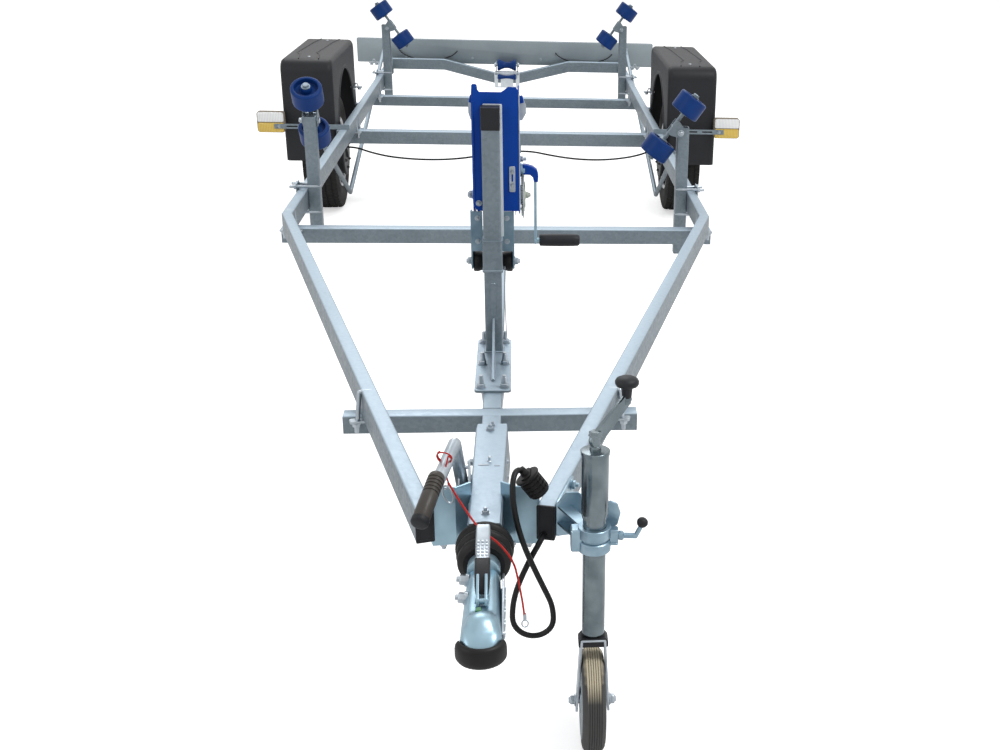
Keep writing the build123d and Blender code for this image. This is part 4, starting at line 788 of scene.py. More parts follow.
for name, s in (("left", -1), ("right", 1)):
    bm = bmesh.new()
    profile = [(-d, r, False) for d, r in wall_half] + [(-d, r, True) for d, r in tread_half]
    profile += [(d, r, True) for d, r in reversed(tread_half)] + [(d, r, False) for d,
                                                                  r in reversed(wall_half)]
    rows = []
    for d, r, on_tread in profile:
        row = []
        for block in range(BLOCKS):
            for phase, share in enumerate((0.0, 0.14, 0.45, 0.59)):
                a = 2 * pi * (block + share + (abs(d) / 185 if on_tread else 0)) / BLOCKS
                cut = tread_depth(d, phase) if on_tread else 0.0
                rr = r - cut
                row.append(bm.verts.new((s * WHEEL_X + d, AXLE_Y + rr * cos(a), TYRE_R + rr * sin(a))))
        rows.append(row)
    skin(bm, rows, wrap=True)
    tyre = finish_piece(f"road_tyre_{name}", bm, tyre_black, f"wheel_{name}", 38)
    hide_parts(f"tyre_{name}")


# ---- Road wheels ----
# Pressed steel wheels sprayed silver: rolled flanges, a vented disc on five nuts, a grease cap over the
# hub, and a valve stem. Each turns with its tyre.
def sprayed_silver(name, code, dark):
    """Silver wheel paint: fine aluminium flake in a clear lacquer, even, with a slight orange peel."""
    paint, tree = start_material(name)
    place = put(tree, "TexCoord").outputs["Object"]
    flake = put(tree, "TexVoronoi", {"Vector": place, "Scale": 1400.0})
    peel = put(tree, "TexNoise", {"Vector": place, "Scale": 180.0, "Detail": 1.0})
    tone = put(tree, "MixRGB", {0: flake.outputs["Distance"], 1: linear(code), 2: linear(dark)})
    gloss = put(tree, "MapRange", {"Value": peel, "To Min": 0.32, "To Max": 0.46})
    coat(tree, tone, gloss, peel, 0.1, 0.0003, {"Metallic": 0.6, "Coat Weight": 0.4})
    return paint


wheel_silver = sprayed_silver("silver_wheel_paint", "C4C8CA", "A2A7AB")
for name, s in (("left", -1), ("right", 1)):
    recoat(f"rim_{name}", wheel_silver)
    hub = Vector((s * WHEEL_X, AXLE_Y, TYRE_R))
    bm = bmesh.new()
    for k in (-1, 1):
        turned(bm, [(72, 171), (72, 177.6), (77, 178.5), (80, 182), (80.5, 187), (82.5, 188.5), (84.5, 187),
                    (84.5, 181), (81, 174), (77, 170.5), (72, 170)], hub, (k * s, 0, 0), 72)
    turned(bm, [(-30, 169.8), (-26, 162), (-12, 160), (12, 160), (30, 169.8)], hub, (s, 0, 0), 72)
    for k in range(5):
        a = 2 * pi * k / 5 + 0.3
        at = hub + Vector((s * 32, 56 * cos(a), 56 * sin(a)))
        turned(bm, [(0, 12), (3, 11), (3, 9.6), (15, 9.6), (18, 7)], at, (s, 0, 0), 6)
    turned(bm, [(50, 36), (53, 36), (55, 33), (74, 31), (80, 27), (83, 18), (84, 0)], hub, (s, 0, 0), 40)
    valve = hub + Vector((s * 34, 152 * cos(2.2), 152 * sin(2.2)))
    turned(bm, [(0, 6), (10, 5), (12, 3.4), (28, 3.4), (30, 2.6)], valve,
           (s, -0.25 * cos(2.2), -0.25 * sin(2.2)), 12)
    trim = finish_piece(f"wheel_trim_{name}", bm, wheel_silver, f"wheel_{name}")


# ---- Brake drums and suspension arms ----
# Cast trailing arms on the ends of the axle tube, each with a closed brake drum, all painted black. Six
# bolts hold the back plate of each drum.
paint, tree = start_material("black_chassis_paint")
place = put(tree, "TexCoord").outputs["Object"]
cast = put(tree, "TexNoise", {"Vector": place, "Scale": 120.0, "Detail": 6.0, "Roughness": 0.65})
tone = put(tree, "MixRGB", {0: cast, 1: linear("1A1B1C"), 2: linear("3A3C3D")})
gloss = put(tree, "MapRange", {"Value": cast, "To Min": 0.4, "To Max": 0.6})
coat(tree, tone, gloss, cast, 0.4, 0.0008)
chassis_black = paint
recoat("suspension_arms", chassis_black)
bm = bmesh.new()
for s in (-1, 1):
    drum = Vector((s * 876, AXLE_Y, TYRE_R))
    turned(bm, [(-4, 96), (-4, 124), (0, 127), (6, 127), (8, 118.5), (10, 118.5)], drum, (s, 0, 0), 64)
    for k in range(6):
        a = 2 * pi * k / 6 + 0.4
        nut(bm, drum + Vector((-s * 4, 84 * cos(a), 84 * sin(a))), (-s, 0, 0), 13, 2, 4)
drum_trim = finish_piece("brake_drum_trim", bm, chassis_black)


# ---- Keel roller ----
# A V-shaped blue roller on a pin between two galvanised cheeks, over the dip of the rear beam. A slotted
# plate covers the beam below it and carries a second, thinner dished disc.
KEEL_Y, KEEL_Z = V_Y, 523
bm = bmesh.new()
profile = [(-65, 9.4), (-65, 34)] + [(-60 - 5 * cos(radians(a)), 34 + 5 * sin(radians(a)))
                                     for a in range(0, 91, 18)]
profile += [(-53, 39)] + [(-53 + 53 * k / 8, 21 + 18 * (1 - sin(pi / 2 * k / 8)) ** 1.1) for k in range(1, 9)]
profile = mirrored(profile)
turned_across(bm, profile, KEEL_Y, KEEL_Z, 48)
keel_cast = finish_piece("keel_roller_cast", bm, blue_pu, "keel_roller", 40)
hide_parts("keel_roller")

bm, pins = bmesh.new(), bmesh.new()
for s in (-1, 1):
    outline = [(-24, 474), (24, 474), (24, KEEL_Z), (12, KEEL_Z + 22), (-12, KEEL_Z + 22), (-24, KEEL_Z)]
    flat_plate(bm, Vector((s * 73.5, KEEL_Y, 0)), BACKWARD, UP, eased(outline, 6), 5)
    turned(pins, [(0, 17), (2, 17), (2, 14), (9, 14), (11, 12)], (s * 76, KEEL_Y, KEEL_Z), (s, 0, 0), 24)
    weld(bm, [(s * 78, KEEL_Y - 22, 479), (s * 78, KEEL_Y + 22, 479)], 3)
flat_plate(bm, Vector((0, KEEL_Y, 475.5)), ACROSS, BACKWARD, rounded(160, 48, 4), 5)
round_bar(pins, [(-82, KEEL_Y, KEEL_Z), (82, KEEL_Y, KEEL_Z)], 8.6, 16)
# bright slotted plate bolted over the dip of the beam, near-white as a painted highlight, and the disc that
# stands in front of it
face_y, front = KEEL_Y - 28, bmesh.new()
for s in (-1, 1):
    for x0, x1, z0, z1 in ((62, 88, 370, 478), (0, 44, 370, 478)):
        flat_plate(front, Vector((s * (x0 + x1) / 2, face_y, (z0 + z1) / 2)), ACROSS, UP,
                   rounded(x1 - x0, z1 - z0, 3), 4)
    flat_plate(front, Vector((s * 53, face_y, 452)), ACROSS, UP, rounded(20, 52, 2), 4)
    flat_plate(front, Vector((s * 53, face_y, 375)), ACROSS, UP, rounded(20, 10, 2), 4)
    nut(pins, (s * 75, face_y - 2, 466), (0, -1, 0), 13, 2, 4)
disc, disc_y, disc_z = bmesh.new(), face_y - 26, 448
profile = [(-62, 8), (-62, 17), (-60, 19), (-52, 19)] + [(-52 + 52 * k / 6, 19 - 9 * sin(pi / 2 * k / 6))
                                                         for k in range(1, 7)]
profile = mirrored(profile)
turned_across(disc, profile, disc_y, disc_z, 32)
guide = finish_piece("keel_guide_disc", disc, blue_pu, sharp=40)
front = finish_piece("keel_front_plate", front, highlight_zinc)
round_bar(pins, [(-70, disc_y, disc_z), (70, disc_y, disc_z)], 7.6, 16)
for s in (-1, 1):
    flat_plate(pins, Vector((s * 66, face_y - 18, disc_z)), BACKWARD, UP, rounded(34, 30, 8), 4)
bracket = finish_piece("keel_roller_cheeks", bm, galvanised)
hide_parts("keel_roller_bracket")
pin = finish_piece("keel_roller_pin", pins, zinc)


# ---- Lighting board ----
# A folded sheet channel across the tail, galvanised and smooth, with the lamps let into its rear. Tubes run
# forward from it outside the rails and come down to their sides ahead of the fenders.
paint, tree = start_material("skin_passed_zinc_sheet")
place = put(tree, "TexCoord").outputs["Object"]
rolled = put(tree, "Mapping", {"Vector": place, "Scale": (4.0, 40.0, 260.0)})
grain = put(tree, "TexNoise", {"Vector": rolled, "Scale": 1.0, "Detail": 4.0})
cloud = put(tree, "TexNoise", {"Vector": place, "Scale": 5.0, "Detail": 3.0})
tone = put(tree, "MixRGB", {0: cloud, 1: linear("7C878D"), 2: linear("98A3A8")})
gloss = put(tree, "MapRange", {"Value": grain, "To Min": 0.34, "To Max": 0.5})
coat(tree, tone, gloss, grain, 0.12, 0.0004, {"Metallic": 0.7})
zinc_sheet = paint

BOARD_HALF, BOARD_Y, BOARD_D, BOARD_Z0, BOARD_Z1 = 1037, 3763, 38, 516, 678
BOARD_MID = (BOARD_Z0 + BOARD_Z1) / 2
bm = bmesh.new()
rows = []
for y, inset, r in ((BOARD_D, 0, 8), (3, 0, 8), (0.8, 0.9, 7.5), (0, 3, 6),
                    (2, 3, 6), (3.5, 2, 7), (BOARD_D, 2, 7)):
    rows.append([bm.verts.new((u, BOARD_Y + y, BOARD_MID + v))
                 for u, v in rounded(2 * (BOARD_HALF - inset), BOARD_Z1 - BOARD_Z0 - 2 * inset, r)])
skin(bm, rows[:4])
skin(bm, rows[4:])
skin(bm, [rows[0], rows[-1]])
bm.faces.new(rows[3])
bm.faces.new(rows[4])
board = finish_piece("lighting_board", bm, zinc_sheet)
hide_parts("light_board")

TUBE_X, TUBE_Y, TUBE_BEND_Y, TUBE_Z, FOOT_Y = 844.3, 650, 1415, 634, 3662
bm, nuts = bmesh.new(), bmesh.new()
for s in (-1, 1):
    x = s * TUBE_X
    round_bar(bm, bent([(x, TUBE_Y, 513), (x, TUBE_BEND_Y, 619), (x, BOARD_Y - 0.3, TUBE_Z)], 500, 10), 12,
              20)
    turned(bm, [(0, 12.2), (1.5, 12.6), (3, 11)], (x, TUBE_Y, 513), (0, -0.99, -0.137), 20)
    flat_plate(bm, Vector((s * 823, FOOT_Y, RAIL_TOP + 2.5)), ACROSS, BACKWARD, rounded(42, 30, 4), 5)
    flat_plate(bm, Vector((x, FOOT_Y, 577)), BACKWARD, UP, rounded(30, 96, 4), 8)
    nut(nuts, (s * 814, FOOT_Y, RAIL_TOP + 5), UP, 17, 4, 5)
    for y in (2000, 3000):
        u_bolt(nuts, (x, y, 620 + (y - TUBE_BEND_Y) * 0.0064 + 12), (1, 0, 0), -UP, 24, 24, tail=16, r=3)
    turned(nuts, [(0, 16), (3, 16), (3, 13), (8, 13), (9.5, 11)], (x, BOARD_Y - 3, TUBE_Z), (0, -1, 0), 24)
for x in (-700, -240, 240, 700):
    nut(nuts, (x, BOARD_Y, BOARD_MID - 40), (0, -1, 0), 13, 3, 4)
tubes = finish_piece("guard_tubes", bm, galvanised)
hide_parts("guard_bars")
fixings = finish_piece("lighting_board_fixings", nuts, zinc)


# ---- Tail lamps ----
# Combination lamps on the rear of the board: a black base, an amber, a red and a clear lens side by side with
# moulded flutes, and a red triangle reflector. A plain black block sits between them.
def lens(name, code, clear):
    """Moulded acrylic lens: deep clear colour under a glossy skin, fluted inside."""
    paint, tree = start_material(name)
    place = put(tree, "TexCoord").outputs["Object"]
    flutes = put(tree, "TexWave", {"Vector": place, "Scale": 40.0, "Distortion": 0.0}, bands_direction="X")
    tone = put(tree, "MixRGB", {0: flutes, 1: linear(code), 2: linear(clear)})
    bump = put(tree, "Bump", {"Height": flutes, "Strength": 0.3, "Distance": 0.0008})
    face = put(tree, "BsdfPrincipled", {"Base Color": tone, "Roughness": 0.12, "Coat Weight": 0.6,
                                        "Normal": bump, "IOR": 1.49})
    put(tree, "OutputMaterial", {"Surface": face})
    return paint


red_lens, amber_lens, clear_lens = (lens("red_acrylic_lens", "B3140F", "D0281C"),
                                    lens("amber_acrylic_lens", "D9770E", "EE9A2A"),
                                    lens("clear_acrylic_lens", "D9DCDD", "F2F3F2"))


def lamp_block(bm, x0, x1, y0, y1, z0, z1, r, crown, material):
    """Rounded lamp body or lens between two corners, facing +Y or -Y by the order of y0 and y1."""
    x, z, w, h = (x0 + x1) / 2, (z0 + z1) / 2, abs(x1 - x0), z1 - z0
    turn_in = 1 if y1 > y0 else -1
    rows = []
    for y, inset in ((y0, 0), (y1 - turn_in * crown, 0), (y1 - turn_in * crown * 0.3, crown * 0.35),
                     (y1, crown)):
        rows.append([bm.verts.new((x + u, y, z + v)) for u, v in rounded(w - 2 * inset, h - 2 * inset,
                                                                         max(r - inset, 1.5))])
    skin(bm, rows, material=material)
    bm.faces.new(rows[0][::-1]).material_index = material
    bm.faces.new(rows[-1]).material_index = material


REFLECTOR_X = 640
bm = bmesh.new()
for s in (-1, 1):
    outer, wide = s * 1025, 227
    lamp_block(bm, outer - s * wide, outer, BOARD_Y + 2, 3812, BOARD_Z0 + 12, BOARD_Z1 - 12, 12, 3, 0)
    x = outer - s * 5
    for share, paint_id in ((0.34, 1), (0.38, 2), (0.28, 3)):
        wide_lens = (wide - 10) * share
        lamp_block(bm, x - s * wide_lens + s * 1, x - s * 1, 3811, 3827, BOARD_Z0 + 18, BOARD_Z1 - 18, 9, 5,
                   paint_id)
        x -= s * wide_lens
    corners = [(s * REFLECTOR_X - 62, 545), (s * REFLECTOR_X + 62, 545), (s * REFLECTOR_X, 652)]
    flat_plate(bm, Vector((0, BOARD_Y + BOARD_D - 1, 0)), ACROSS, UP, eased(corners, 8), 8)
lamp_block(bm, -150, 150, BOARD_Y + 2, BOARD_Y + BOARD_D + 5, BOARD_Z0 + 12, BOARD_Z1 - 12, 10, 2, 0)
lamps = finish_piece("tail_lamp_set", bm, [black_abs, amber_lens, red_lens, clear_lens])
for polygon in lamps.data.polygons:
    if abs(abs(polygon.center.x) - REFLECTOR_X / 1000) < 0.07 and polygon.material_index == 0:
        polygon.material_index = 2
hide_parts("tail_lamps")


# ---- Marker lamps ----
# Side markers on slotted galvanised flats that reach past the fenders: a brown-grey moulded housing with a
# clear front lens over an amber lower one.
lamp_housing = grained_plastic("brown_grey_lamp_housing", "6E665C", 0.5, 1.5)
bm, arms_bm = bmesh.new(), bmesh.new()
for s in (-1, 1):
    lamp_block(bm, s * 1105, s * 1242, 1125, 1093, 506, 612, 14, 3, 0)
    lamp_block(bm, s * 1109, s * 1238, 1096, 1085.4, 560, 609, 9, 4, 1)
    lamp_block(bm, s * 1109, s * 1238, 1096, 1085.4, 509, 557, 9, 4, 2)
    nut(arms_bm, (s * 1130, 1081, 541), (0, -1, 0), 13, 3, 4)
    nut(arms_bm, (s * (RAIL_IN + 20), 1102, RAIL_TOP + 4), UP, 13, 3, 4)
markers = finish_piece("marker_lamp_set", bm, [lamp_housing, clear_lens,
                                               lens("pale_amber_lens", "C9A63C", "DDBF5A")])
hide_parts("marker_lamps")
nuts = finish_piece("marker_arm_nuts", arms_bm, zinc)


# ---- Overrun housing ----
# Pressed steel box that carries the drawbar shaft: a flat lid folded down over square sides, a little wider
# at its far end, with bolts and a grease nipple on its top.
HOUSING_Y0, HOUSING_Y1, HOUSING_Z0, HOUSING_Z1, COUPLING_Z = -3327, -2803, 432, 530, 482
bm = bmesh.new()
stations = []
for y, half, shift in ((HOUSING_Y0, 33, 0), (HOUSING_Y0 + 30, 33.4, 0.4), (HOUSING_Y1 - 24, 37.6, 6.6),
                       (HOUSING_Y1, 36, 7)):
    flare = 6 * (y - HOUSING_Y0) / (HOUSING_Y1 - HOUSING_Y0)
    stations.append([bm.verts.new((u + shift + (flare if u > 0 > v else 0), y,
                                   (HOUSING_Z0 + HOUSING_Z1) / 2 + v))
                     for u, v in rounded(2 * half, HOUSING_Z1 - HOUSING_Z0, 3.5, 4)])
skin(bm, stations)
bm.faces.new(stations[0][::-1])
bm.faces.new(stations[-1])
# rolled collar behind the bellows, and the folded hem along each side
turned(bm, [(0, 43), (1.5, 45), (4, 45), (5, 43)], (0, HOUSING_Y0 - 5, COUPLING_Z), BACKWARD, 40)
for s in (-1, 1):
    hem = [Vector((s * 33.4, HOUSING_Y0 + 4, HOUSING_Z1 - 7)),
           Vector((s * 36.4 + 6, HOUSING_Y1 - 26, HOUSING_Z1 - 7))]
    round_bar(bm, hem, 1.6, 8)
housing = finish_piece("overrun_box", bm, galvanised)
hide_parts("overrun_housing")

bm = bmesh.new()
for y, x, size in ((-3282, 1, 13), (-2842, 3, 15), (-2818, 8, 10)):
    nut(bm, (x, y, HOUSING_Z1 - 0.5), UP, size, 5, size * 0.3)
turned(bm, [(0, 5), (3, 5), (4, 3), (9, 3), (10, 4.2), (13, 4.2), (15, 2)], (4, -3020, HOUSING_Z1 - 1),
       (0.1, -0.2, 1), 16)
flat_plate(bm, Vector((-8, -3040, HOUSING_Z1 + 0.6)), ACROSS, BACKWARD, rounded(26, 7, 3), 1.6)
flat_plate(bm, Vector((22, -3046, HOUSING_Z1 + 0.6)), ACROSS, BACKWARD, rounded(14, 4, 1.8), 1.6)
for s in (-1, 1):
    for y, z in ((-3290, 455), (-2960, 500), (-2960, 460)):
        nut(bm, (s * 34, y, z), (s, 0, 0), 15, 3, 5)
    # bolts through the plate's turned-in foot, nuts below
    for x in (56, 92):
        nut(bm, (s * x, -3204, 424), -UP, 15, 5, 5)
fasteners = finish_piece("overrun_box_fasteners", bm, zinc)


# ---- Drawbar plates ----
# Folded sheets of smooth plated steel weld the box into the V of the rails, with a turned-in foot along
# the bottom and a tab for the parked plug.
def inner_face(y):
    """Where a converging rail's inner face lies at y."""
    return NOSE_X - RAIL_W * cos(DRAW_ANGLE) + (y - NOSE_Y - RAIL_W * sin(DRAW_ANGLE)) * tan(DRAW_ANGLE)


def folded_sheet(bm, plan, z0, z1, t=5.0, fold_r=7.0):
    """Sheet that stands on edge along a plan line, with rounded folds."""
    line = [Vector((p[0], p[1], 0)) for p in bent([(x, y, 0) for x, y in plan], fold_r)]
    rows = []
    for i, p in enumerate(line):
        a, b = line[max(i - 1, 0)], line[min(i + 1, len(line) - 1)]
        side = (b - a).normalized().cross(UP) * t / 2
        rows.append([bm.verts.new(q) for q in (p + side + UP * (z0 + 1), p + side + UP * (z1 - 1),
                                               p + side * 0.6 + UP * z1,
                                               p - side * 0.6 + UP * z1, p - side + UP * (z1 - 1),
                                               p - side + UP * (z0 + 1),
                                               p - side * 0.6 + UP * z0, p + side * 0.6 + UP * z0)])
    skin(bm, rows)
    end_faces(bm, rows)


# light blue copy of the zinc plate: painted sky reflection and painted highlight
sky_tinted_zinc = plated("painted_sky_zinc_plate", "A8C4D1", "839FAF", 0.36)
bm = bmesh.new()
PLATE_Y, FOLD_X, PLATE_Z0, PLATE_Z1 = NOSE_Y + 30, 62, 424, 560
for s in (-1, 1):
    far = inner_face(PLATE_Y + 2.5)
    folded_sheet(bm, [(s * 33, PLATE_Y + 33), (s * FOLD_X, PLATE_Y + 2.5), (s * far, PLATE_Y + 2.5)],
                 PLATE_Z0, PLATE_Z1)
    foot = [(s * 34, PLATE_Y + 36), (s * (FOLD_X + 2), PLATE_Y + 5),
            (s * inner_face(PLATE_Y + 5), PLATE_Y + 5),
            (s * inner_face(PLATE_Y + 40), PLATE_Y + 40), (s * 34, PLATE_Y + 40)]
    flat_plate(bm, Vector((0, 0, PLATE_Z0 + 2.5)), ACROSS, BACKWARD, foot, 5, 0.5)
    weld(bm, [(s * (far - 1), PLATE_Y - 0.5, z) for z in (PLATE_Z0 + 26, 528)], 2.8)
flat_plate(bm, Vector((94, -3226.6, 572)), ACROSS, UP, eased([(-10, -14), (10, -14), (10, 12), (-10, 12)], 4),
           5)
plates = finish_piece("drawbar_plate_pair", bm, sky_tinted_zinc)
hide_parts("drawbar_plates")


# ---- End caps ----
# Black moulded plastic: plugs pressed into the open ends of the rails, and a deep push-on cap over the
# top of the winch post.
recoat("end_caps", black_abs)
bm = bmesh.new()
for s in (-1, 1):
    square = Vector((s * cos(DRAW_ANGLE), -sin(DRAW_ANGLE), 0))
    out = Vector((-s * sin(DRAW_ANGLE), -cos(DRAW_ANGLE), 0))
    nose = Vector((s * NOSE_X, NOSE_Y, RAIL_MID)) - square * RAIL_W / 2 + out * 5.0
    rows = []
    for lift, inset in ((-0.5, 3.0), (1.2, 4.0), (1.2, 6.5), (-0.5, 7.5)):
        rows.append([bm.verts.new(nose + out * lift + square * u + UP * v)
                     for u, v in rounded(RAIL_W - 2 * inset, RAIL_H - 2 * inset, 3)])
    skin(bm, rows)
cap_rims = finish_piece("rail_cap_rims", bm, black_abs)


# ---- Bellows ----
# Moulded rubber gaiter over the drawbar shaft: three broad folds, shrinking towards the head.
nitrile = tyre_rubber("nitrile_rubber", "0E0E10", 0.45, "1E1D1D")
bm = bmesh.new()
y0, PITCH = HOUSING_Y0 - 5.3, 28
profile = [(0, 26), (0, 52)]
for k in range(3):
    crest, start = 60 - 3 * k, PITCH * k
    profile += [(start + 3, crest - 5), (start + 6, crest - 1), (start + 9, crest), (start + 15, crest),
                (start + 18, crest - 1.5), (start + 22, crest - 9), (start + 25, crest - 13),
                (start + 28, crest - 12)]
profile += [(84, 36), (84, 26)]
turned(bm, profile, (0, y0, COUPLING_Z), (0, -1, 0), 64)
gaiter = finish_piece("drawbar_gaiter", bm, nitrile, sharp=45)
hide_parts("bellows")


# ---- Coupling head ----
# Stamped from thick sheet and zinc-plated: a long shell that widens from the shaft to its round nose, crowned
# where the ball sits, with a flange round its foot, a side plate on the right and two bolts through its left.
HEAD_BACK, BALL_Y, HEAD_NOSE, HEAD_R, HEAD_FOOT, HEAD_TOP = -3430, -3640, -3668, 39, 432, 490
bm = bmesh.new()


def head_half(y):
    """Half width of the stamped shell at y: straight sides that open to the round nose."""
    if y > HEAD_NOSE:
        return 33 + (HEAD_R - 33) * (HEAD_BACK - y) / (HEAD_BACK - HEAD_NOSE)
    return (max(HEAD_R ** 2 - (y - HEAD_NOSE) ** 2, 0.0)) ** 0.5


def head_top(y):
    """Height of the shell's ridge at y, falling to the nose."""
    fall = max(BALL_Y - 12 - y, 0.0) / (BALL_Y - 12 - HEAD_NOSE + HEAD_R)
    return HEAD_FOOT + (HEAD_TOP - HEAD_FOOT) * max(1 - fall ** 2.2, 0) ** 0.5


ys = [HEAD_BACK - (HEAD_BACK - HEAD_NOSE) * k / 24 for k in range(25)]
ys += [HEAD_NOSE - HEAD_R * sin(radians(a)) for a in (12, 24, 36, 48, 58, 67, 75, 82, 87)]
rows = []
for y in ys:
    half, top = head_half(y), head_top(y)
    row = []
    for k in range(33):
        a = pi * k / 32
        cx, cz = cos(a), sin(a)
        # straight sides, rounded shoulders, nearly flat top
        ex, ez = abs(cx) ** 0.42 * (1 if cx >= 0 else -1), abs(cz) ** 0.5
        x = half * ex
        z = HEAD_FOOT + 4 + (top - HEAD_FOOT - 4) * ez
        bulge = max(0.0, 1 - (x / 30) ** 2 - ((y - BALL_Y) / 32) ** 2)
        z += 16 * bulge ** 0.7 if z > HEAD_FOOT + 30 else 0
        row.append(bm.verts.new((x, y, z)))
    rows.append(row)
skin(bm, rows, closed=False)
bm.faces.new(rows[0])
bm.faces.new(rows[-1][::-1])
# flange round the foot
rim_rows = []
for lift, reach in ((4, 0.0), (4, 3.0), (2.5, 3.8), (0, 3.4), (0, -3)):
    rim = []
    for side in (1, -1):
        line = [(head_half(y) + reach, y) for y in ys[:25]]
        line += [((HEAD_R + reach) * cos(radians(a)), HEAD_NOSE - (HEAD_R + reach) * sin(radians(a)))
                 for a in range(10, 90, 10)]
        line = line if side == 1 else line[::-1]
        rim += [bm.verts.new((side * x, y, HEAD_FOOT + lift)) for x, y in line]
        if side == 1:
            rim.append(bm.verts.new((0, HEAD_NOSE - HEAD_R - reach, HEAD_FOOT + lift)))
    rim_rows.append(rim)
skin(bm, rim_rows, closed=False)
# socket for the ball, seen from below
turned(bm, [(0, 37), (0.4, 36), (0.4, 25.6), (1.5, 25.2), (18, 25.2), (26, 19), (30, 9), (31, 0)],
       (0, BALL_Y, HEAD_FOOT), UP, 48)
round_bar(bm, [(0, HEAD_BACK - 6, COUPLING_Z), (0, HOUSING_Y0 - 5, COUPLING_Z)], 25, 40)
turned(bm, [(-20, 30), (-18, 33), (8, 33), (10, 31), (10, 25)], (0, HEAD_BACK, COUPLING_Z), BACKWARD, 40)
head = finish_piece("coupling_shell", bm, sky_tinted_zinc, sharp=40)
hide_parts("coupling_head")

bm = bmesh.new()
SIDE_Z = 476
for y in (-3462, -3531):
    for profile, sides in (([(-6, 13), (1, 13)], 24), ([(1, 11), (10, 11), (12, 9)], 6),
                           ([(12, 5.5), (17, 5.5), (18, 4.5)], 16)):
        turned(bm, profile, (-35, y, SIDE_Z), (-1, 0, 0.15), sides)
# side plate on the right, stiffened by a row of pressed ribs
side = eased([(-92, -34), (112, -34), (112, 6), (76, 14), (-4, 10), (-92, -6)], 6)
flat_plate(bm, Vector((39.5, -3560, SIDE_Z)), BACKWARD, UP, side, 4)
for k in range(8):
    rib = Vector((42, -3642 + k * 22, 462))
    round_bar(bm, [rib - UP * 9, rib + UP * (4 + 6 * (k % 2))], [1.8, 3.0], 8)
plates = finish_piece("coupling_side_bolts", bm, zinc)


# ---- Coupling handle ----
# Pressed steel lever, its hold knurled in a grid and plated, its neck in a black moulded sleeve, and the bare
# fork ends pinned into the head. A small green tab shows when the ball is locked.
bm = bmesh.new()
path = [(-3560, 500, 12, 4), (-3552, 510, 14, 7), (-3525, 520, 15, 9), (-3487, 531.5, 15, 9.5),
        (-3486, 532, 14.4, 8.8), (-3440, 546, 14.4, 8), (-3408, 556, 14.4, 7), (-3396, 559.5, 13.4, 5.5)]
rows = []
for i, (y, z, half, thick) in enumerate(path):
    a, b = path[max(i - 1, 0)], path[min(i + 1, len(path) - 1)]
    way = Vector((0, b[0] - a[0], b[1] - a[1])).normalized()
    lift = way.cross(ACROSS)
    lift = lift if lift.z > 0 else -lift
    rows.append([bm.verts.new(Vector((u, y, z)) + lift * v) for u,
                 v in rounded(2 * half, 2 * thick, min(half, thick) * 0.55, 5)])
skin(bm, rows[:4], material=1)
skin(bm, rows[3:], material=0)
bm.faces.new(rows[0][::-1]).material_index = 1
bm.faces.new(rows[-1])
way = Vector((0, 46, 14)).normalized()
lift = Vector((0, -way.z, way.y))
for i in range(5):
    for j in range(3):
        at = Vector((-8.2 + 8.2 * j, -3480 + 9 * i, 533.8 + 2.72 * i)) + lift * 8.2
        rows = [[bm.verts.new(at + ACROSS * u + way * v + lift * h) for u, v in rounded(w, w * 0.95, 1)]
                for w, h in ((6.8, 0), (6.4, 0.9), (5.0, 1.4))]
        skin(bm, rows)
        bm.faces.new(rows[-1])
grip = finish_piece("coupling_grip", bm, [zinc, black_abs], sharp=50)
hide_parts("coupling_handle")
bm = bmesh.new()
for s in (-1, 1):
    fork = eased([(-3596, 489), (-3584, 486), (-3550, 500), (-3532, 524), (-3540, 528), (-3592, 503)], 3.5)
    flat_plate(bm, Vector((s * 8, 0, 5)), BACKWARD, UP, fork, 5)
round_bar(bm, [(-13, -3583, 499), (13, -3583, 499)], 5, 16)
fork = finish_piece("coupling_fork", bm, sky_tinted_zinc)
paint, tree = start_material("green_indicator_enamel")
place = put(tree, "TexCoord").outputs["Object"]
chips = put(tree, "TexNoise", {"Vector": place, "Scale": 400.0})
tone = put(tree, "MixRGB", {0: chips, 1: linear("0E5A26"), 2: linear("1E7A3C")})
face = put(tree, "BsdfPrincipled", {"Base Color": tone, "Roughness": 0.4})
put(tree, "OutputMaterial", {"Surface": face})
bm = bmesh.new()
flat_plate(bm, Vector((-6, -3617, 501.5)), ACROSS, BACKWARD, eased([(-6, -7), (7, -7), (5, 7), (-3, 6)], 1.5),
           3)
tab = finish_piece("lock_indicator", bm, paint)


# ---- Coupling bumper ----
# Soft black rubber lip, moulded in one piece. It wraps the nose of the head and keeps it off a car's
# bumper.
bm = bmesh.new()
rows = []
for a in range(-96, 97, 8):
    t = radians(a)
    way = Vector((sin(t), -cos(t), 0))
    base = Vector((0, HEAD_NOSE, 0)) + way * (HEAD_R + 0.4)
    shrink = 1.0 if abs(a) < 72 else max((100 - abs(a)) / 28, 0.2)
    row = []
    for out, z in ((0, 434), (0, 472), (1.5, 475), (6, 474), (9, 470), (10.5, 462), (10.5, 446), (9, 438),
                   (6, 433), (1.5, 431)):
        row.append(bm.verts.new(base + way * out * shrink + UP * (453 + (z - 453) * (0.5 + 0.5 * shrink))))
    rows.append(row)
skin(bm, rows)
end_faces(bm, rows)
bumper = finish_piece("coupling_nose_rubber", bm, nitrile, sharp=60)
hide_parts("coupling_bumper")


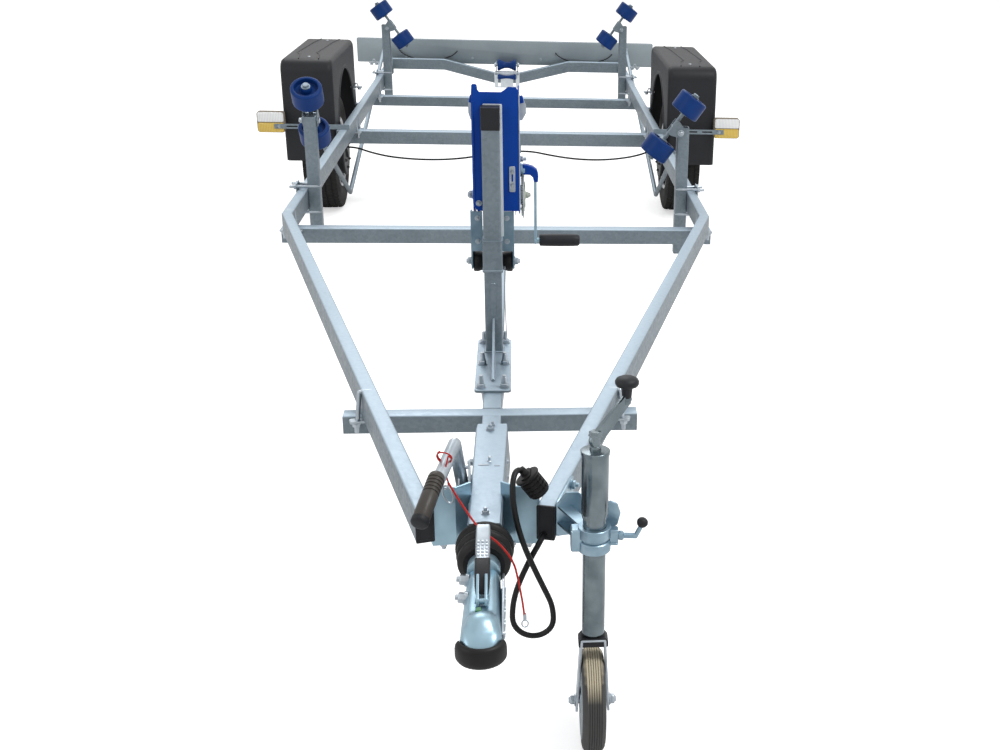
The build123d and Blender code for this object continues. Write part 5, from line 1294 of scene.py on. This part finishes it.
# ---- Parking brake lever ----
# Bent zinc-plated tube with a ribbed black grip and a capped end, on a toothed quadrant inside a folded
# bracket beside the box.
PIVOT_Y, PIVOT_Z = -3140, 496
ELBOW, LEVER_END = Vector((-60, -3141, 672)), Vector((-127, -3385, 562))
LEVER_PIVOT = Vector((-47, PIVOT_Y, PIVOT_Z))
bm, grip_bm = bmesh.new(), bmesh.new()
round_bar(bm, bent([LEVER_PIVOT, ELBOW, LEVER_END], 24, 10), 14, 24)
back = (ELBOW - LEVER_END).normalized()
profile = [(-2, 13), (0, 17.2), (2, 18.6), (12, 18.6), (13, 17.6)]
turned(grip_bm, profile, LEVER_END, back, 28)
profile = [(13, 17), (14, 17.8), (72, 17.8)]
for k in range(5):
    profile += [(76 + 9 * k, 17.8), (77 + 9 * k, 15.8), (80 + 9 * k, 15.8), (81 + 9 * k, 17.8)]
profile += [(122, 17.6), (128, 16.4), (131, 14.2)]
turned(grip_bm, profile, LEVER_END, back, 28, 1)
turned(bm, [(0, 13), (18, 13)], (-33, PIVOT_Y, PIVOT_Z), (-1, 0, 0), 24)
nut(bm, (-52, PIVOT_Y, PIVOT_Z), (-1, 0, 0), 17, 3, 5)
for k in range(14):
    a = radians(18 + 144 * k / 13)
    tooth = Vector((-38.5, PIVOT_Y + 44 * cos(a), PIVOT_Z + 44 * sin(a)))
    flat_plate(bm, tooth, Vector((0, cos(a), sin(a))), Vector((0, -sin(a), cos(a))),
               [(-4, -3.4), (3.5, -1.8), (3.5, 1.8), (-4, 3.4)], 5, 0.4)
segment = [(40 * cos(radians(a)), 40 * sin(radians(a))) for a in range(8, 173, 11)] + [(-13, 6), (-12, -12),
                                                                                       (12, -12), (13, 6)]
flat_plate(bm, Vector((-38.5, PIVOT_Y, PIVOT_Z)), BACKWARD, UP, segment, 5, 0.5)
# folded bracket either side of the quadrant
for x in (-36, -58):
    cheek = eased([(-60, -30), (44, -30), (50, 6), (20, 70), (-10, 96), (-34, 40), (-62, 10)], 10)
    flat_plate(bm, Vector((x, -3136, 500)), BACKWARD, UP, cheek, 3.5)
for y, z in ((-3180, 490), (-3104, 484), (-3150, 576)):
    round_bar(bm, [(-33, y, z), (-62, y, z)], 4, 12)
    nut(bm, (-60, y, z), (-1, 0, 0), 13, 1, 4)
lever = finish_piece("brake_lever_tube", bm, zinc)
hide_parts("brake_lever")
grip_grey = grained_plastic("ribbed_grip_pvc", "3A3734", 0.32, 1.2)
grip = finish_piece("brake_lever_grip", grip_bm, [black_abs, grip_grey], sharp=40)


# ---- Breakaway link ----
# Zinc-plated wire snap hook that joins the red wire to a loop of it round the lever, and the crimped eye
# at the wire's free end.
LINK = Vector((-81, -3254, 578))
bm = bmesh.new()
lean = Vector((0.30, 0.0, -0.95)).normalized()
wide = Vector((0.95, 0.0, 0.30)).normalized()
for k, shift in ((0, 16), (1, -16)):
    middle, tall, half = LINK - lean * shift, 21, 9.5
    loop = [middle + lean * tall * sin(a) * (1.0 if abs(sin(a)) < 0.9 else 0.97) + wide * half * cos(a)
            + Vector((0, 1.5 * (1 - 2 * k), 0))
            for a in around(28)]
    round_bar(bm, loop, 2.1, 10, closed=True)
round_bar(bm, [LINK - lean * 26 - wide * 7, LINK - lean * 6 - wide * 8.5], 3.0, 12)
link = finish_piece("breakaway_snap_hook", bm, zinc)
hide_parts("breakaway_clip")

bm = bmesh.new()
turns = []
for k in range(26):
    a = 2 * pi * k / 14
    axis_at = LEVER_END.lerp(ELBOW, 0.64 + 0.0011 * k)
    side = back.orthogonal().normalized()
    turns.append(axis_at + (side * cos(a) + back.cross(side) * sin(a)) * (15.9 + 0.6 * sin(a * 3)))
round_bar(bm, turns, 1.6, 8)
round_bar(bm, [turns[0], Vector((-81, -3248, 616)), Vector((-76, -3254.5, 593))], 1.6, 8)
loop = finish_piece("breakaway_loop", bm, red_pvc)
bm = bmesh.new()
turned(bm, [(0, 3.2), (1, 3.6), (14, 3.6), (15, 3.0)], (80, -3446, 386), (0.03, 0.04, -1), 12)
ring = [Vector((80.5, -3445.5, 362)) + Vector((6.5 * cos(a), 0, 8 * sin(a))) for a in around(24)]
round_bar(bm, ring, 1.5, 8, closed=True)
eye = finish_piece("breakaway_eye", bm, zinc)


# ---- Parked plug ----
# Moulded black plug with deep finger ribs, a lipped mouth, and a flap hinged on its side. It is parked on
# the tab of the drawbar plates.
PLUG_A, PLUG_B = Vector((86, -3254, 604)), Vector((118, -3254, 560))
way = (PLUG_B - PLUG_A).normalized()
bm = bmesh.new()
profile = [(0.3, 9), (0, 24), (1.5, 27.4), (5, 28), (7, 26.5), (9, 22.4)]
for k in range(4):
    start = 12 + 9.5 * k
    profile += [(start, 22), (start + 1.2, 24), (start + 5.6, 24), (start + 6.8, 22)]
profile += [(50, 22.4), (53, 20), (54.4, 16), (54.4, 0)]
turned(bm, profile, PLUG_A, way, 40)
side = way.cross(BACKWARD).normalized()
for k in range(16):
    a = 2 * pi * k / 16
    rib = (side * cos(a) + BACKWARD * sin(a)) * 23.6
    round_bar(bm, [PLUG_A + way * 12 + rib, PLUG_A + way * 46 + rib], 1.2, 6)
flat_plate(bm, PLUG_A - way * 2, side, BACKWARD, eased([(-12, -22), (12, -22), (12, 22), (-12, 22)], 8), 3)
turned(bm, [(0, 10), (2, 9.6), (16, 7.4), (18, 7)], PLUG_A - way * 1, -way, 20)
plug = finish_piece("parked_plug", bm, nitrile, sharp=40)
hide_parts("trailer_plug")


# ---- Jockey wheel clamp ----
# Zinc-plated steel: a back plate U-bolted to the rail, a split clamp band round the tube, and a T-handle
# screw with a black ball that pinches it shut.
JX, JY, JOCKEY_Z = 224, -3357, 112
bm, knob_bm = bmesh.new(), bmesh.new()


def off_rail(t, off):
    """Plan point t along the right rail from its nose, off outside its face."""
    return Vector((NOSE_X + t * sin(DRAW_ANGLE) + off * cos(DRAW_ANGLE),
                   NOSE_Y + t * cos(DRAW_ANGLE) - off * sin(DRAW_ANGLE), 0))


along_rail = Vector((sin(DRAW_ANGLE), cos(DRAW_ANGLE), 0))
centre = off_rail(77, 3.2)
flat_plate(bm, centre + UP * 494, along_rail, UP, rounded(146, 82, 8), 5.6)
for k in (0, 1):
    for y in (28, 126):
        nut(bm, off_rail(y, 6) + UP * (468 + 54 * k), Vector((cos(DRAW_ANGLE), -sin(DRAW_ANGLE), 0)), 17, 6,
            5)
rows = []
for z, r in ((481, 33), (482, 34), (503, 34), (504, 33), (506, 29), (509, 29), (511, 33), (512, 34),
             (534, 34), (535, 33)):
    rows.append([bm.verts.new((JX + r * cos(a), JY + r * sin(a), z)) for a in around(48)])
for z, r in ((535, 24.6), (481, 24.6)):
    rows.append([bm.verts.new((JX + r * cos(a), JY + r * sin(a), z)) for a in around(48)])
skin(bm, rows, wrap=True)
flat_plate(bm, Vector((JX - 37, JY + 2, 507)), ACROSS, UP, rounded(24, 50, 5), 34, 3)
arm_in, arm_out = off_rail(4, 3), off_rail(46, 3)
outline = [(arm_in.x, arm_in.y), (arm_out.x, arm_out.y), (JX - 8, JY + 30), (JX - 28, JY + 10)]
for z in (488, 527):
    flat_plate(bm, UP * z, ACROSS, BACKWARD, outline, 5)
# wing plate across the rail's nose, and the rounded ear that stands out behind the tube
wing = [(149, 456), (196, 462), (208, 486), (208, 548), (196, 560), (170, 560), (149, 531)]
flat_plate(bm, Vector((0, NOSE_Y + 4, 0)), ACROSS, UP, eased(wing, 5), 4)
ear = [(206, 500), (250, 500), (274, 522), (280, 548), (273, 570), (258, 577), (240, 566), (206, 556)]
flat_plate(bm, Vector((0, JY + 31, 0)), ACROSS, UP, eased(ear, 5), 4)
web = (arm_out + Vector((JX - 8, JY + 30, 0))) / 2
run = Vector((JX - 8, JY + 30, 0)) - arm_out
flat_plate(bm, web + UP * 507.5, run.normalized(), UP, rounded(run.length, 38, 3), 4)
# block that the screw threads through, and the screw itself
for z in (496, 526):
    flat_plate(bm, Vector((JX + 38, JY, z)), ACROSS, BACKWARD, rounded(22, 20, 4), 5)
flat_plate(bm, Vector((JX + 40, JY, 511)), ACROSS, UP, rounded(18, 30, 3), 16)
round_bar(bm, [(JX + 44, JY, 512), (JX + 86, JY, 510)], 6, 20)
turned(bm, [(0, 9), (2, 10), (8, 10), (10, 8)], (JX + 50, JY, 511.7), (1, 0, -0.05), 20)
round_bar(bm, [(JX + 84, JY, 507), (JX + 96, JY, 532)], 5, 16)
turned(knob_bm, [(-10, 0), (-9, 5), (-6, 9), (-1, 11.5), (3, 12), (8, 10), (11, 6), (12, 0)],
       (JX + 98, JY, 539), (0.4, 0, 0.9), 24)
# the clamp's plating runs from dark blue to pale in blotches: painted shade and painted highlight
clamp = finish_piece("jockey_clamp_set", bm, plated("clamp_painted_sky_zinc", "B4CAD6", "5F7C8F", 0.34))
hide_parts("jockey_clamp")
knob = finish_piece("jockey_clamp_knob", knob_bm, black_abs, sharp=60)


# ---- Jockey wheel tube and crank ----
# 48 mm drawn tube with a mirror plate, its dark colour a painted reflection, swaged out over the screw at its
# top; a cranked strap arm carries a black mushroom knob on a shouldered bolt.
bm, knob_bm = bmesh.new(), bmesh.new()
profile = [(284, 20.5), (284, 23.4), (284.8, 24), (545, 24), (552, 24.4), (563, 27.4), (567, 28), (696, 28),
           (697, 29.6), (704, 30), (705, 28.6),
           (706, 12), (714, 11.5), (715, 10), (739, 10), (740, 8)]
turned(bm, profile + [(740, 0)], (JX, JY, 0), UP, 48)
turned(bm, [(0, 15), (2, 15), (3, 13.6), (9, 13.6), (11, 11)], (JX, JY, 735), UP, 6)
root, turn = Vector((JX, JY, 727)), Vector((66, 62, 62))
knob_at = root + turn
way = turn.normalized()
normal = turn.cross(UP).normalized()
strap = [(-13, -12), (-8, -15), (0, -16), (turn.length, -13), (turn.length + 10, -9), (turn.length + 13, 0),
         (turn.length + 10, 9), (turn.length, 13), (0, 16), (-8, 15), (-13, 12), (-16, 0)]
flat_plate(bm, root, way, way.cross(normal), strap, 9, 2)
turned(bm, [(-9, 9), (-4, 9.6), (0, 9.6), (4, 8), (6, 6), (26, 6), (26, 0)], knob_at, UP, 24)
turned(knob_bm, [(4, 9), (6, 10), (24, 11.5), (27, 16), (30, 22), (34, 24.3), (39, 24.6), (44, 22), (48, 14),
                 (50, 0)], knob_at, UP, 40)
# darker copy of the zinc plate: painted dark reflection on the drawn tube
dark_reflection_zinc = plated("drawn_tube_painted_reflection_zinc", "8B979C", "4E5A60", 0.2)
tube = finish_piece("jockey_outer_tube", bm, dark_reflection_zinc)
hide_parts("jockey_tube")
knob = finish_piece("jockey_crank_knob", knob_bm, black_abs, sharp=60)
recoat("jockey_leg", dark_reflection_zinc)


# ---- Jockey fork and wheel ----
# Folded strap fork on the inner tube, and a solid grey-rubber tyre, ribbed round its tread, on a hub of
# two pressed halves held by four bolts.
bm = bmesh.new()
half, z_top = 34.5, 283
line = bent([(JX - half, JY, 92), (JX - half, JY, z_top - 2.5), (JX + half, JY, z_top - 2.5),
             (JX + half, JY, 92)], 11, 6)
rows = []
for i, p in enumerate(line):
    a, b = line[max(i - 1, 0)], line[min(i + 1, len(line) - 1)]
    out = (b - a).normalized().cross(BACKWARD) * 2.5
    low = 1.0 if 110 < p.z else 0.8
    rows.append([bm.verts.new(q) for q in (p + out + BACKWARD * 19 * low, p + out * 0.6 + BACKWARD * 20 * low,
                                           p - out * 0.6 + BACKWARD * 20 * low,
                                           p - out + BACKWARD * 19 * low, p - out - BACKWARD * 19 * low,
                                           p - out * 0.6 - BACKWARD * 20 * low,
                                           p + out * 0.6 - BACKWARD * 20 * low,
                                           p + out - BACKWARD * 19 * low)])
skin(bm, rows)
end_faces(bm, rows)
turned(bm, [(-6, 14), (-5, 15), (-0.4, 15), (0.2, 13)], (JX, JY, 278), UP, 32)
round_bar(bm, [(JX - 42, JY, JOCKEY_Z), (JX + 42, JY, JOCKEY_Z)], 8, 20)
for s in (-1, 1):
    nut(bm, (JX + s * 37, JY, JOCKEY_Z), (s, 0, 0), 19, 1.5, 7)
# a black block inside the fork's crown, above the tyre, stands in for the shade there: painted shade
start = len(bm.faces)
flat_plate(bm, Vector((JX, JY, 264)), ACROSS, UP, eased([(-31.5, -10), (31.5, -10), (31.5, 4), (25, 13),
                                                         (-25, 13), (-31.5, 4)], 3), 36, 2)
for index, face in enumerate(bm.faces):
    face.material_index = int(index >= start)
fork = finish_piece("jockey_strap_fork", bm, [zinc, black_abs], "jockey_fork")
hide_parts("jockey_fork")

grey_rubber = tyre_rubber("grey_solid_rubber", "3E4042", 0.78, "565552")
tree = grey_rubber.node_tree
face = next(part for part in tree.nodes if part.bl_idname == "ShaderNodeBsdfPrincipled")
worn = face.inputs["Base Color"].links[0].from_socket
# faces turned up are mixed towards pale beige: a painted highlight of the light on the tyre's top
facing = put(tree, "SeparateXYZ", {0: put(tree, "NewGeometry").outputs["Normal"]})
painted_top_light = put(tree, "MapRange", {"Value": facing.outputs[2], "From Min": 0.48, "From Max": 0.78})
tone = put(tree, "MixRGB", {0: painted_top_light, 1: worn, 2: linear("C9BEA4")})
tree.links.new(tone.outputs[0], face.inputs["Base Color"])
hub_paint = hot_dip("pressed_hub_zinc", "A9B2B7", "89949B", 5)
bm, hub_bm = bmesh.new(), bmesh.new()
side = [(-25, 82), (-25, 84), (-24.6, 97), (-23, 102.5), (-20, 107), (-17, 110)]
tread = [(-15.5, 111.4)]
for k in range(6):
    u = -15 + k * 5
    tread += [(u + 0.2, 112), (u + 3.4, 112), (u + 3.9, 110.2), (u + 4.7, 110.2)]
profile = side + tread + [(15.5, 111.4)] + [(-d, r) for d, r in reversed(side)] + [(20, 80), (-20, 80)]
rows = []
for d, r in profile:
    row = []
    for i in range(96):
        cut = 1.4 if (abs(d) > 16 and r > 98 and i % 3 == 0) else 0.0
        a = 2 * pi * i / 96
        row.append(bm.verts.new((JX + d, JY + (r - cut) * cos(a), JOCKEY_Z + (r - cut) * sin(a))))
    rows.append(row)
skin(bm, rows, wrap=True)
tyre = finish_piece("jockey_tyre", bm, grey_rubber, "jockey_wheel", 34)
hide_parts("jockey_wheel")
for s in (-1, 1):
    turned(hub_bm, [(25.2, 82), (25.8, 84), (24.5, 85.5), (22, 83), (17, 76), (16, 70), (16, 46), (18, 40),
                    (20, 34), (22, 30), (27, 28), (28, 20), (28, 9)],
           (JX, JY, JOCKEY_Z), (s, 0, 0), 48)
    for k in range(4):
        a = pi / 4 + pi / 2 * k
        nut(hub_bm, (JX + s * 15.5, JY + 58 * cos(a), JOCKEY_Z + 58 * sin(a)), (s, 0, 0), 10, 0, 3)
hub = finish_piece("jockey_hub", hub_bm, hub_paint, "jockey_wheel")


# ---- Winch post ----
# Square post welded to a thick base plate with a gusset in front; three U-bolts round the keel tube come up
# through the plate under flanged nuts.
PY, BACK = -2066, -2039.5
bm, fixings = bmesh.new(), bmesh.new()
hollow_section(bm, [(Vector((0, PY, z)), ACROSS, BACKWARD) for z in (456, 1166)], 50, 50, 3, 5)
flat_plate(bm, Vector((0, -2184.5, RAIL_BOTTOM + 4)), ACROSS, BACKWARD, rounded(100, 425, 10), 8, 1.2)
gusset = eased([(-2092, 457), (-2331, 457), (-2331, 465), (-2092, 565)], 3)
flat_plate(bm, Vector((0, 0, 0)), BACKWARD, UP, gusset, 6)
SEAM_Z = 458
ring_line = [(26, PY + 26, SEAM_Z), (-26, PY + 26, SEAM_Z), (-26, PY - 26, SEAM_Z), (26, PY - 26, SEAM_Z)]
weld(bm, ring_line, 3.5, closed=True)
for s in (-1, 1):
    weld(bm, [(s * 3.5, -2326, SEAM_Z), (s * 3.5, -2096, SEAM_Z)], 2.6)
# slot pressed in the front of the post
flat_plate(bm, Vector((0, PY - 25.6, 620)), ACROSS, UP, rounded(17, 100, 7), 1.6)
for y in (-2005, -2190, -2375):
    u_bolt(fixings, (0, y, RAIL_BOTTOM - 60), ACROSS, UP, 50, 68, strap=False, tail=36)
# pressed sleeve of the bow stop's bracket, round the post, and behind it a thin near-white sheet whose edge
# shows right of the post: a painted highlight
rows = [[bm.verts.new((u, PY + v, z)) for u, v in rounded(size, size, 6)]
        for z, size in ((702, 51), (702, 59), (707, 59), (708, 56.5), (790, 56.5), (791, 58.5), (795, 58.5),
                        (795, 51))]
skin(bm, rows)
highlight_sheet = bmesh.new()
flat_plate(highlight_sheet, Vector((6, BACK - 1.0, 984)), ACROSS, UP, rounded(54, 378, 3), 1.6, 0.3)
highlight_sheet = finish_piece("winch_highlight_sheet", highlight_sheet, highlight_zinc)
post = finish_piece("winch_post_section", bm, galvanised)
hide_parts("winch_post")
fixed = finish_piece("winch_post_fixings", fixings, zinc)


# ---- Winch frame ----
# Pressed steel cradle, powder-coated bright blue: a web that bears on the post, two cheeks for the shafts,
# and a raised lobe over each cheek.
paint, tree = start_material("blue_powder_coat")
place = put(tree, "TexCoord").outputs["Object"]
peel = put(tree, "TexNoise", {"Vector": place, "Scale": 260.0, "Detail": 2.0})
cloud = put(tree, "TexNoise", {"Vector": place, "Scale": 9.0, "Detail": 3.0})
tone = put(tree, "MixRGB", {0: cloud, 1: linear("0A3A92"), 2: linear("1148A8")})
gloss = put(tree, "MapRange", {"Value": peel, "To Min": 0.22, "To Max": 0.36})
coat(tree, tone, gloss, peel, 0.15, 0.0004, {"Specular IOR Level": 0.1})
blue_coat = paint

bm, fixings = bmesh.new(), bmesh.new()
FX0, FX1, FZ0, FZ1, LOBE = -53, 81, 869, 1218, 1192
DY, DRUM_Z, CRANK_Z = BACK + 92, 896, 970
cheek = [(BACK + 2, FZ0), (BACK + 130, FZ0 - 40), (BACK + 160, FZ0 + 60), (BACK + 140, FZ1 - 90),
         (BACK + 70, FZ1), (BACK + 2, LOBE)]
for x in (FX0 + 2.5, FX1 - 2.5):
    flat_plate(bm, Vector((x, 0, 0)), BACKWARD, UP, eased(cheek, 14, 6), 5, 1.2)
web = [(FX0 + 2, FZ0 + 16), (FX0 + 12, FZ0), (FX1 - 2, FZ0), (FX1 - 2, FZ1 - 10), (FX1 - 9, FZ1 + 1),
       (50, FZ1 + 2), (38, FZ1 - 8),
       (30, FZ1 - 13), (-30, FZ1 - 13), (-35, FZ1 - 6), (-36, FZ1 + 5), (-39, FZ1 + 8), (-48, FZ1 + 8),
       (FX0 + 2, FZ1 + 2)]
flat_plate(bm, Vector((0, BACK + 2.8, 0)), ACROSS, UP, eased(web, 2, 3), 5, 1.2)
# rolled stiffening bead down the web's left, a thin bright strip down its right edge that is a painted
# highlight of the bend, and the shaft bosses
round_bar(bm, [(FX0 + 5, BACK + 1.6, FZ0 + 24), (FX0 + 5, BACK + 1.6, LOBE - 14)], 3.4, 10)
round_bar(fixings, [(FX1 - 1, BACK + 1.2, FZ0 + 3), (FX1 - 1, BACK + 1.2, FZ1 - 18)], 2.0, 8)
for x, way in ((FX0, -1), (FX1, 1)):
    for z, r in ((DRUM_Z, 30), (CRANK_Z, 20)):
        turned(bm, [(-1, r), (2, r - 1), (3, r - 4), (3, 12)], (x, DY, z), (way, 0, 0), 36)
    # ear plate with a rounded end, on one coated bolt
    reach = 19 if way > 0 else 10
    ear = [(-3, 1184), (reach * 0.5, 1184), (reach, 1160), (reach, 1138), (reach * 0.4, 1118), (-3, 1118)]
    ear = eased([(x + u * way, z) for u, z in ear], 2)
    flat_plate(fixings, Vector((0, BACK + 62, 0)), ACROSS, UP, ear, 4)
    turned(bm, [(-4, 12), (reach * 0.5, 12), (reach * 0.6, 10)], (x, BACK + 46, 1178), (way, 0, 0.2), 6)
    nut(fixings, (x + 3 * way, DY, DRUM_Z), (way, 0, 0), 20, 2, 8)
# slotted keeper on the web's right and a small one at its lower left
flat_plate(fixings, Vector((59, BACK - 0.6, 962)), ACROSS, UP, rounded(17, 74, 4), 2.2, 0.5)
for z in (946, 984):
    nut(fixings, (59, BACK - 1.6, z), (0, -1, 0), 10, 2, 3.5)
flat_plate(bm, Vector((59, BACK - 1.9, 966)), ACROSS, UP, rounded(5, 22, 2), 0.8, 0.2)
nut(fixings, (-37, BACK + 0.3, 892), (0, -1, 0), 12, 2, 4)
nut(fixings, (FX1, BACK + 86, 1003), ACROSS, 15, 8, 5)
cradle = finish_piece("winch_cradle", bm, blue_coat)
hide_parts("winch_frame")
fixed = finish_piece("winch_cradle_fixings", fixings, zinc)


# ---- Winch drum, gear and rope ----
# Drum on a spindle between the cheeks, wound with 5 mm wire rope; a toothed wheel outside the right cheek
# meshes with the crank's pinion, behind a pale disc.
bm, rope_bm = bmesh.new(), bmesh.new()
round_bar(bm, [(-47, DY, DRUM_Z), (75, DY, DRUM_Z)], 22, 32)
for x in (-41, 66):
    turned(bm, [(0, 58), (0.8, 60), (2.2, 60), (3, 58)], (x, DY, DRUM_Z), ACROSS, 48)
profile = [(-38, 30)]
for k in range(19):
    profile += [(-37 + 5.4 * k + d, 44.5 + h) for d, h in ((0.2, -1.6), (1.2, 0.9), (2.6, 1.8), (4.0, 0.9))]
profile += [(66, 30)]
turned(rope_bm, profile, (0, DY, DRUM_Z), ACROSS, 40)
teeth = []
for k in range(48):
    for share, r in ((0.0, 57.4), (0.22, 61.4), (0.5, 61.4), (0.72, 57.4)):
        a = 2 * pi * (k + share) / 48
        teeth.append((r * cos(a), r * sin(a)))
flat_plate(bm, Vector((86.6, DY, DRUM_Z)), BACKWARD, UP, teeth, 5.4, 0.4)
turned(bm, [(0, 24), (4, 22), (4, 12)], (89, DY, DRUM_Z), ACROSS, 32)
drum = finish_piece("winch_drum_and_gear", bm, zinc, "winch_drum")
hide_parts("winch_drum")
rope = finish_piece("winch_rope_turns", rope_bm, hot_dip("wire_rope_zinc", "B4BBC0", "7E878E", 2),
                    "winch_drum", 60)

# pale pressed disc over the gear
bm = bmesh.new()
turned(bm, [(0, 66), (0.6, 68), (2, 68), (3, 66), (5, 40), (8, 36), (8, 8)], (88, DY, DRUM_Z), ACROSS, 56)
nut(bm, (95, DY, DRUM_Z), ACROSS, 17, 4, 6)
for k in range(3):
    angle = 2 * pi * k / 3 - 0.5
    turned(bm, [(-7, 4), (1, 4), (1, 7), (4, 7), (5, 5)], (FX1 + 7.5, DY + 58 * cos(angle),
                                                           DRUM_Z + 58 * sin(angle)), ACROSS, 12)
guard = finish_piece("winch_gear_disc", bm, plated("pale_passivated_zinc", "C6CBC2", "A3AAA2", 0.4))


# ---- Winch crank ----
# Blue coated forging that arches out from the pinion shaft, a thin zinc-plated arm and a barrel-shaped
# black grip.
GRIP_Z = 760
bm = bmesh.new()
turned(bm, [(0.3, 11), (2.6, 11), (2.6, 19), (7, 19), (8, 15), (14, 15), (14, 11), (22, 11)],
       (FX1, DY, CRANK_Z), ACROSS, 28)
flat_plate(bm, Vector((125, DY, 0)), BACKWARD, UP, eased([(-11, 958), (11, 958), (9, 748), (-9, 748)], 8, 5),
           8, 2)
turned(bm, [(2, 10), (6, 10), (8, 9), (8, 6.5), (16, 6.5)], (120, DY, GRIP_Z), ACROSS, 20)
start = len(bm.faces)
forging = [(88, 987), (101, 986), (118, 981), (130, 972), (134, 956), (133, 936), (121, 936), (119, 949),
           (110, 957), (88, 958)]
flat_plate(bm, Vector((0, DY, 0)), ACROSS, UP, eased(forging, 3.5, 4), 27, 3)
for index, face in enumerate(bm.faces):
    face.material_index = int(index >= start)
profile = [(136, 12), (137, 16), (140, 17.6), (155, 18), (195, 18.6), (236, 18), (250, 17), (255, 14),
           (256, 11), (256, 0)]
turned(bm, profile, (0, DY, GRIP_Z), ACROSS, 32, 2)
crank = finish_piece("winch_crank_handle", bm, [sky_tinted_zinc, blue_coat, black_abs], "winch_crank")
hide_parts("winch_crank")


# ---- Bow stop ----
# Black rubber V roller between two galvanised legs behind the post, on a through bolt; a taut galvanised
# wire runs from the bolt down to the base plate.
STOP_Y, STOP_Z = BACK + 39, 711
bm = bmesh.new()
profile = [(-57, 8.2), (-57, 27), (-55.5, 30), (-53, 31), (-44, 31)] + [(-44 + 44 * k / 6,
                                                                         31 - 9 * sin(pi / 2 * k / 6))
                                                                        for k in range(1, 7)]
profile = mirrored(profile)
turned_across(bm, profile, STOP_Y, STOP_Z, 40)
stop = finish_piece("bow_stop_rubber", bm, nitrile, sharp=45)
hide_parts("winch_rubber_blocks")
bm, fixings = bmesh.new(), bmesh.new()
for s in (-1, 1):
    side = eased([(0.5, 695), (55, 695), (55, 740), (30, 868), (0.5, 868)], 9)
    flat_plate(bm, Vector((s * 59.8, BACK, 0)), BACKWARD, UP, side, 5)
    flat_plate(bm, Vector((s * 44, BACK + 2.8, 809)), ACROSS, UP, rounded(32, 118, 3), 5)
    nut(fixings, (s * 62.3, STOP_Y, STOP_Z), (s, 0, 0), 19, 3, 7)
    for z in (780, 848):
        nut(fixings, (s * 42, BACK + 0.3, z), (0, -1, 0), 11, 2, 3.5)
round_bar(fixings, [(-62, STOP_Y, STOP_Z), (62, STOP_Y, STOP_Z)], 7.7, 20)
round_bar(fixings, [(34, BACK + 4, 690), (33, BACK + 6, 600), (36, -2006, 470)], 1.4, 8)
ring = [Vector((34, BACK + 4, 697)) + Vector((0, 5 * cos(a), 7 * sin(a))) for a in around(20)]
round_bar(fixings, ring, 1.3, 8, closed=True)
# the legs take a darker copy of the blued zinc plate: painted shade
legs = finish_piece("bow_stop_legs", bm, plated("leg_painted_shade_zinc", "93AAB8", "526979", 0.36))
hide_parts("bow_stop_bracket")
fixed = finish_piece("bow_stop_fixings", fixings, zinc)


# ---- Stays and marker arms ----
# Small folded and slotted flats, galvanised after folding. The stays hold the fenders to the rails, the
# arms carry the marker lamps, and both are shown by their own solids.
for name in ("fender_stays", "marker_lamp_arms"):
    recoat(name, galvanised)
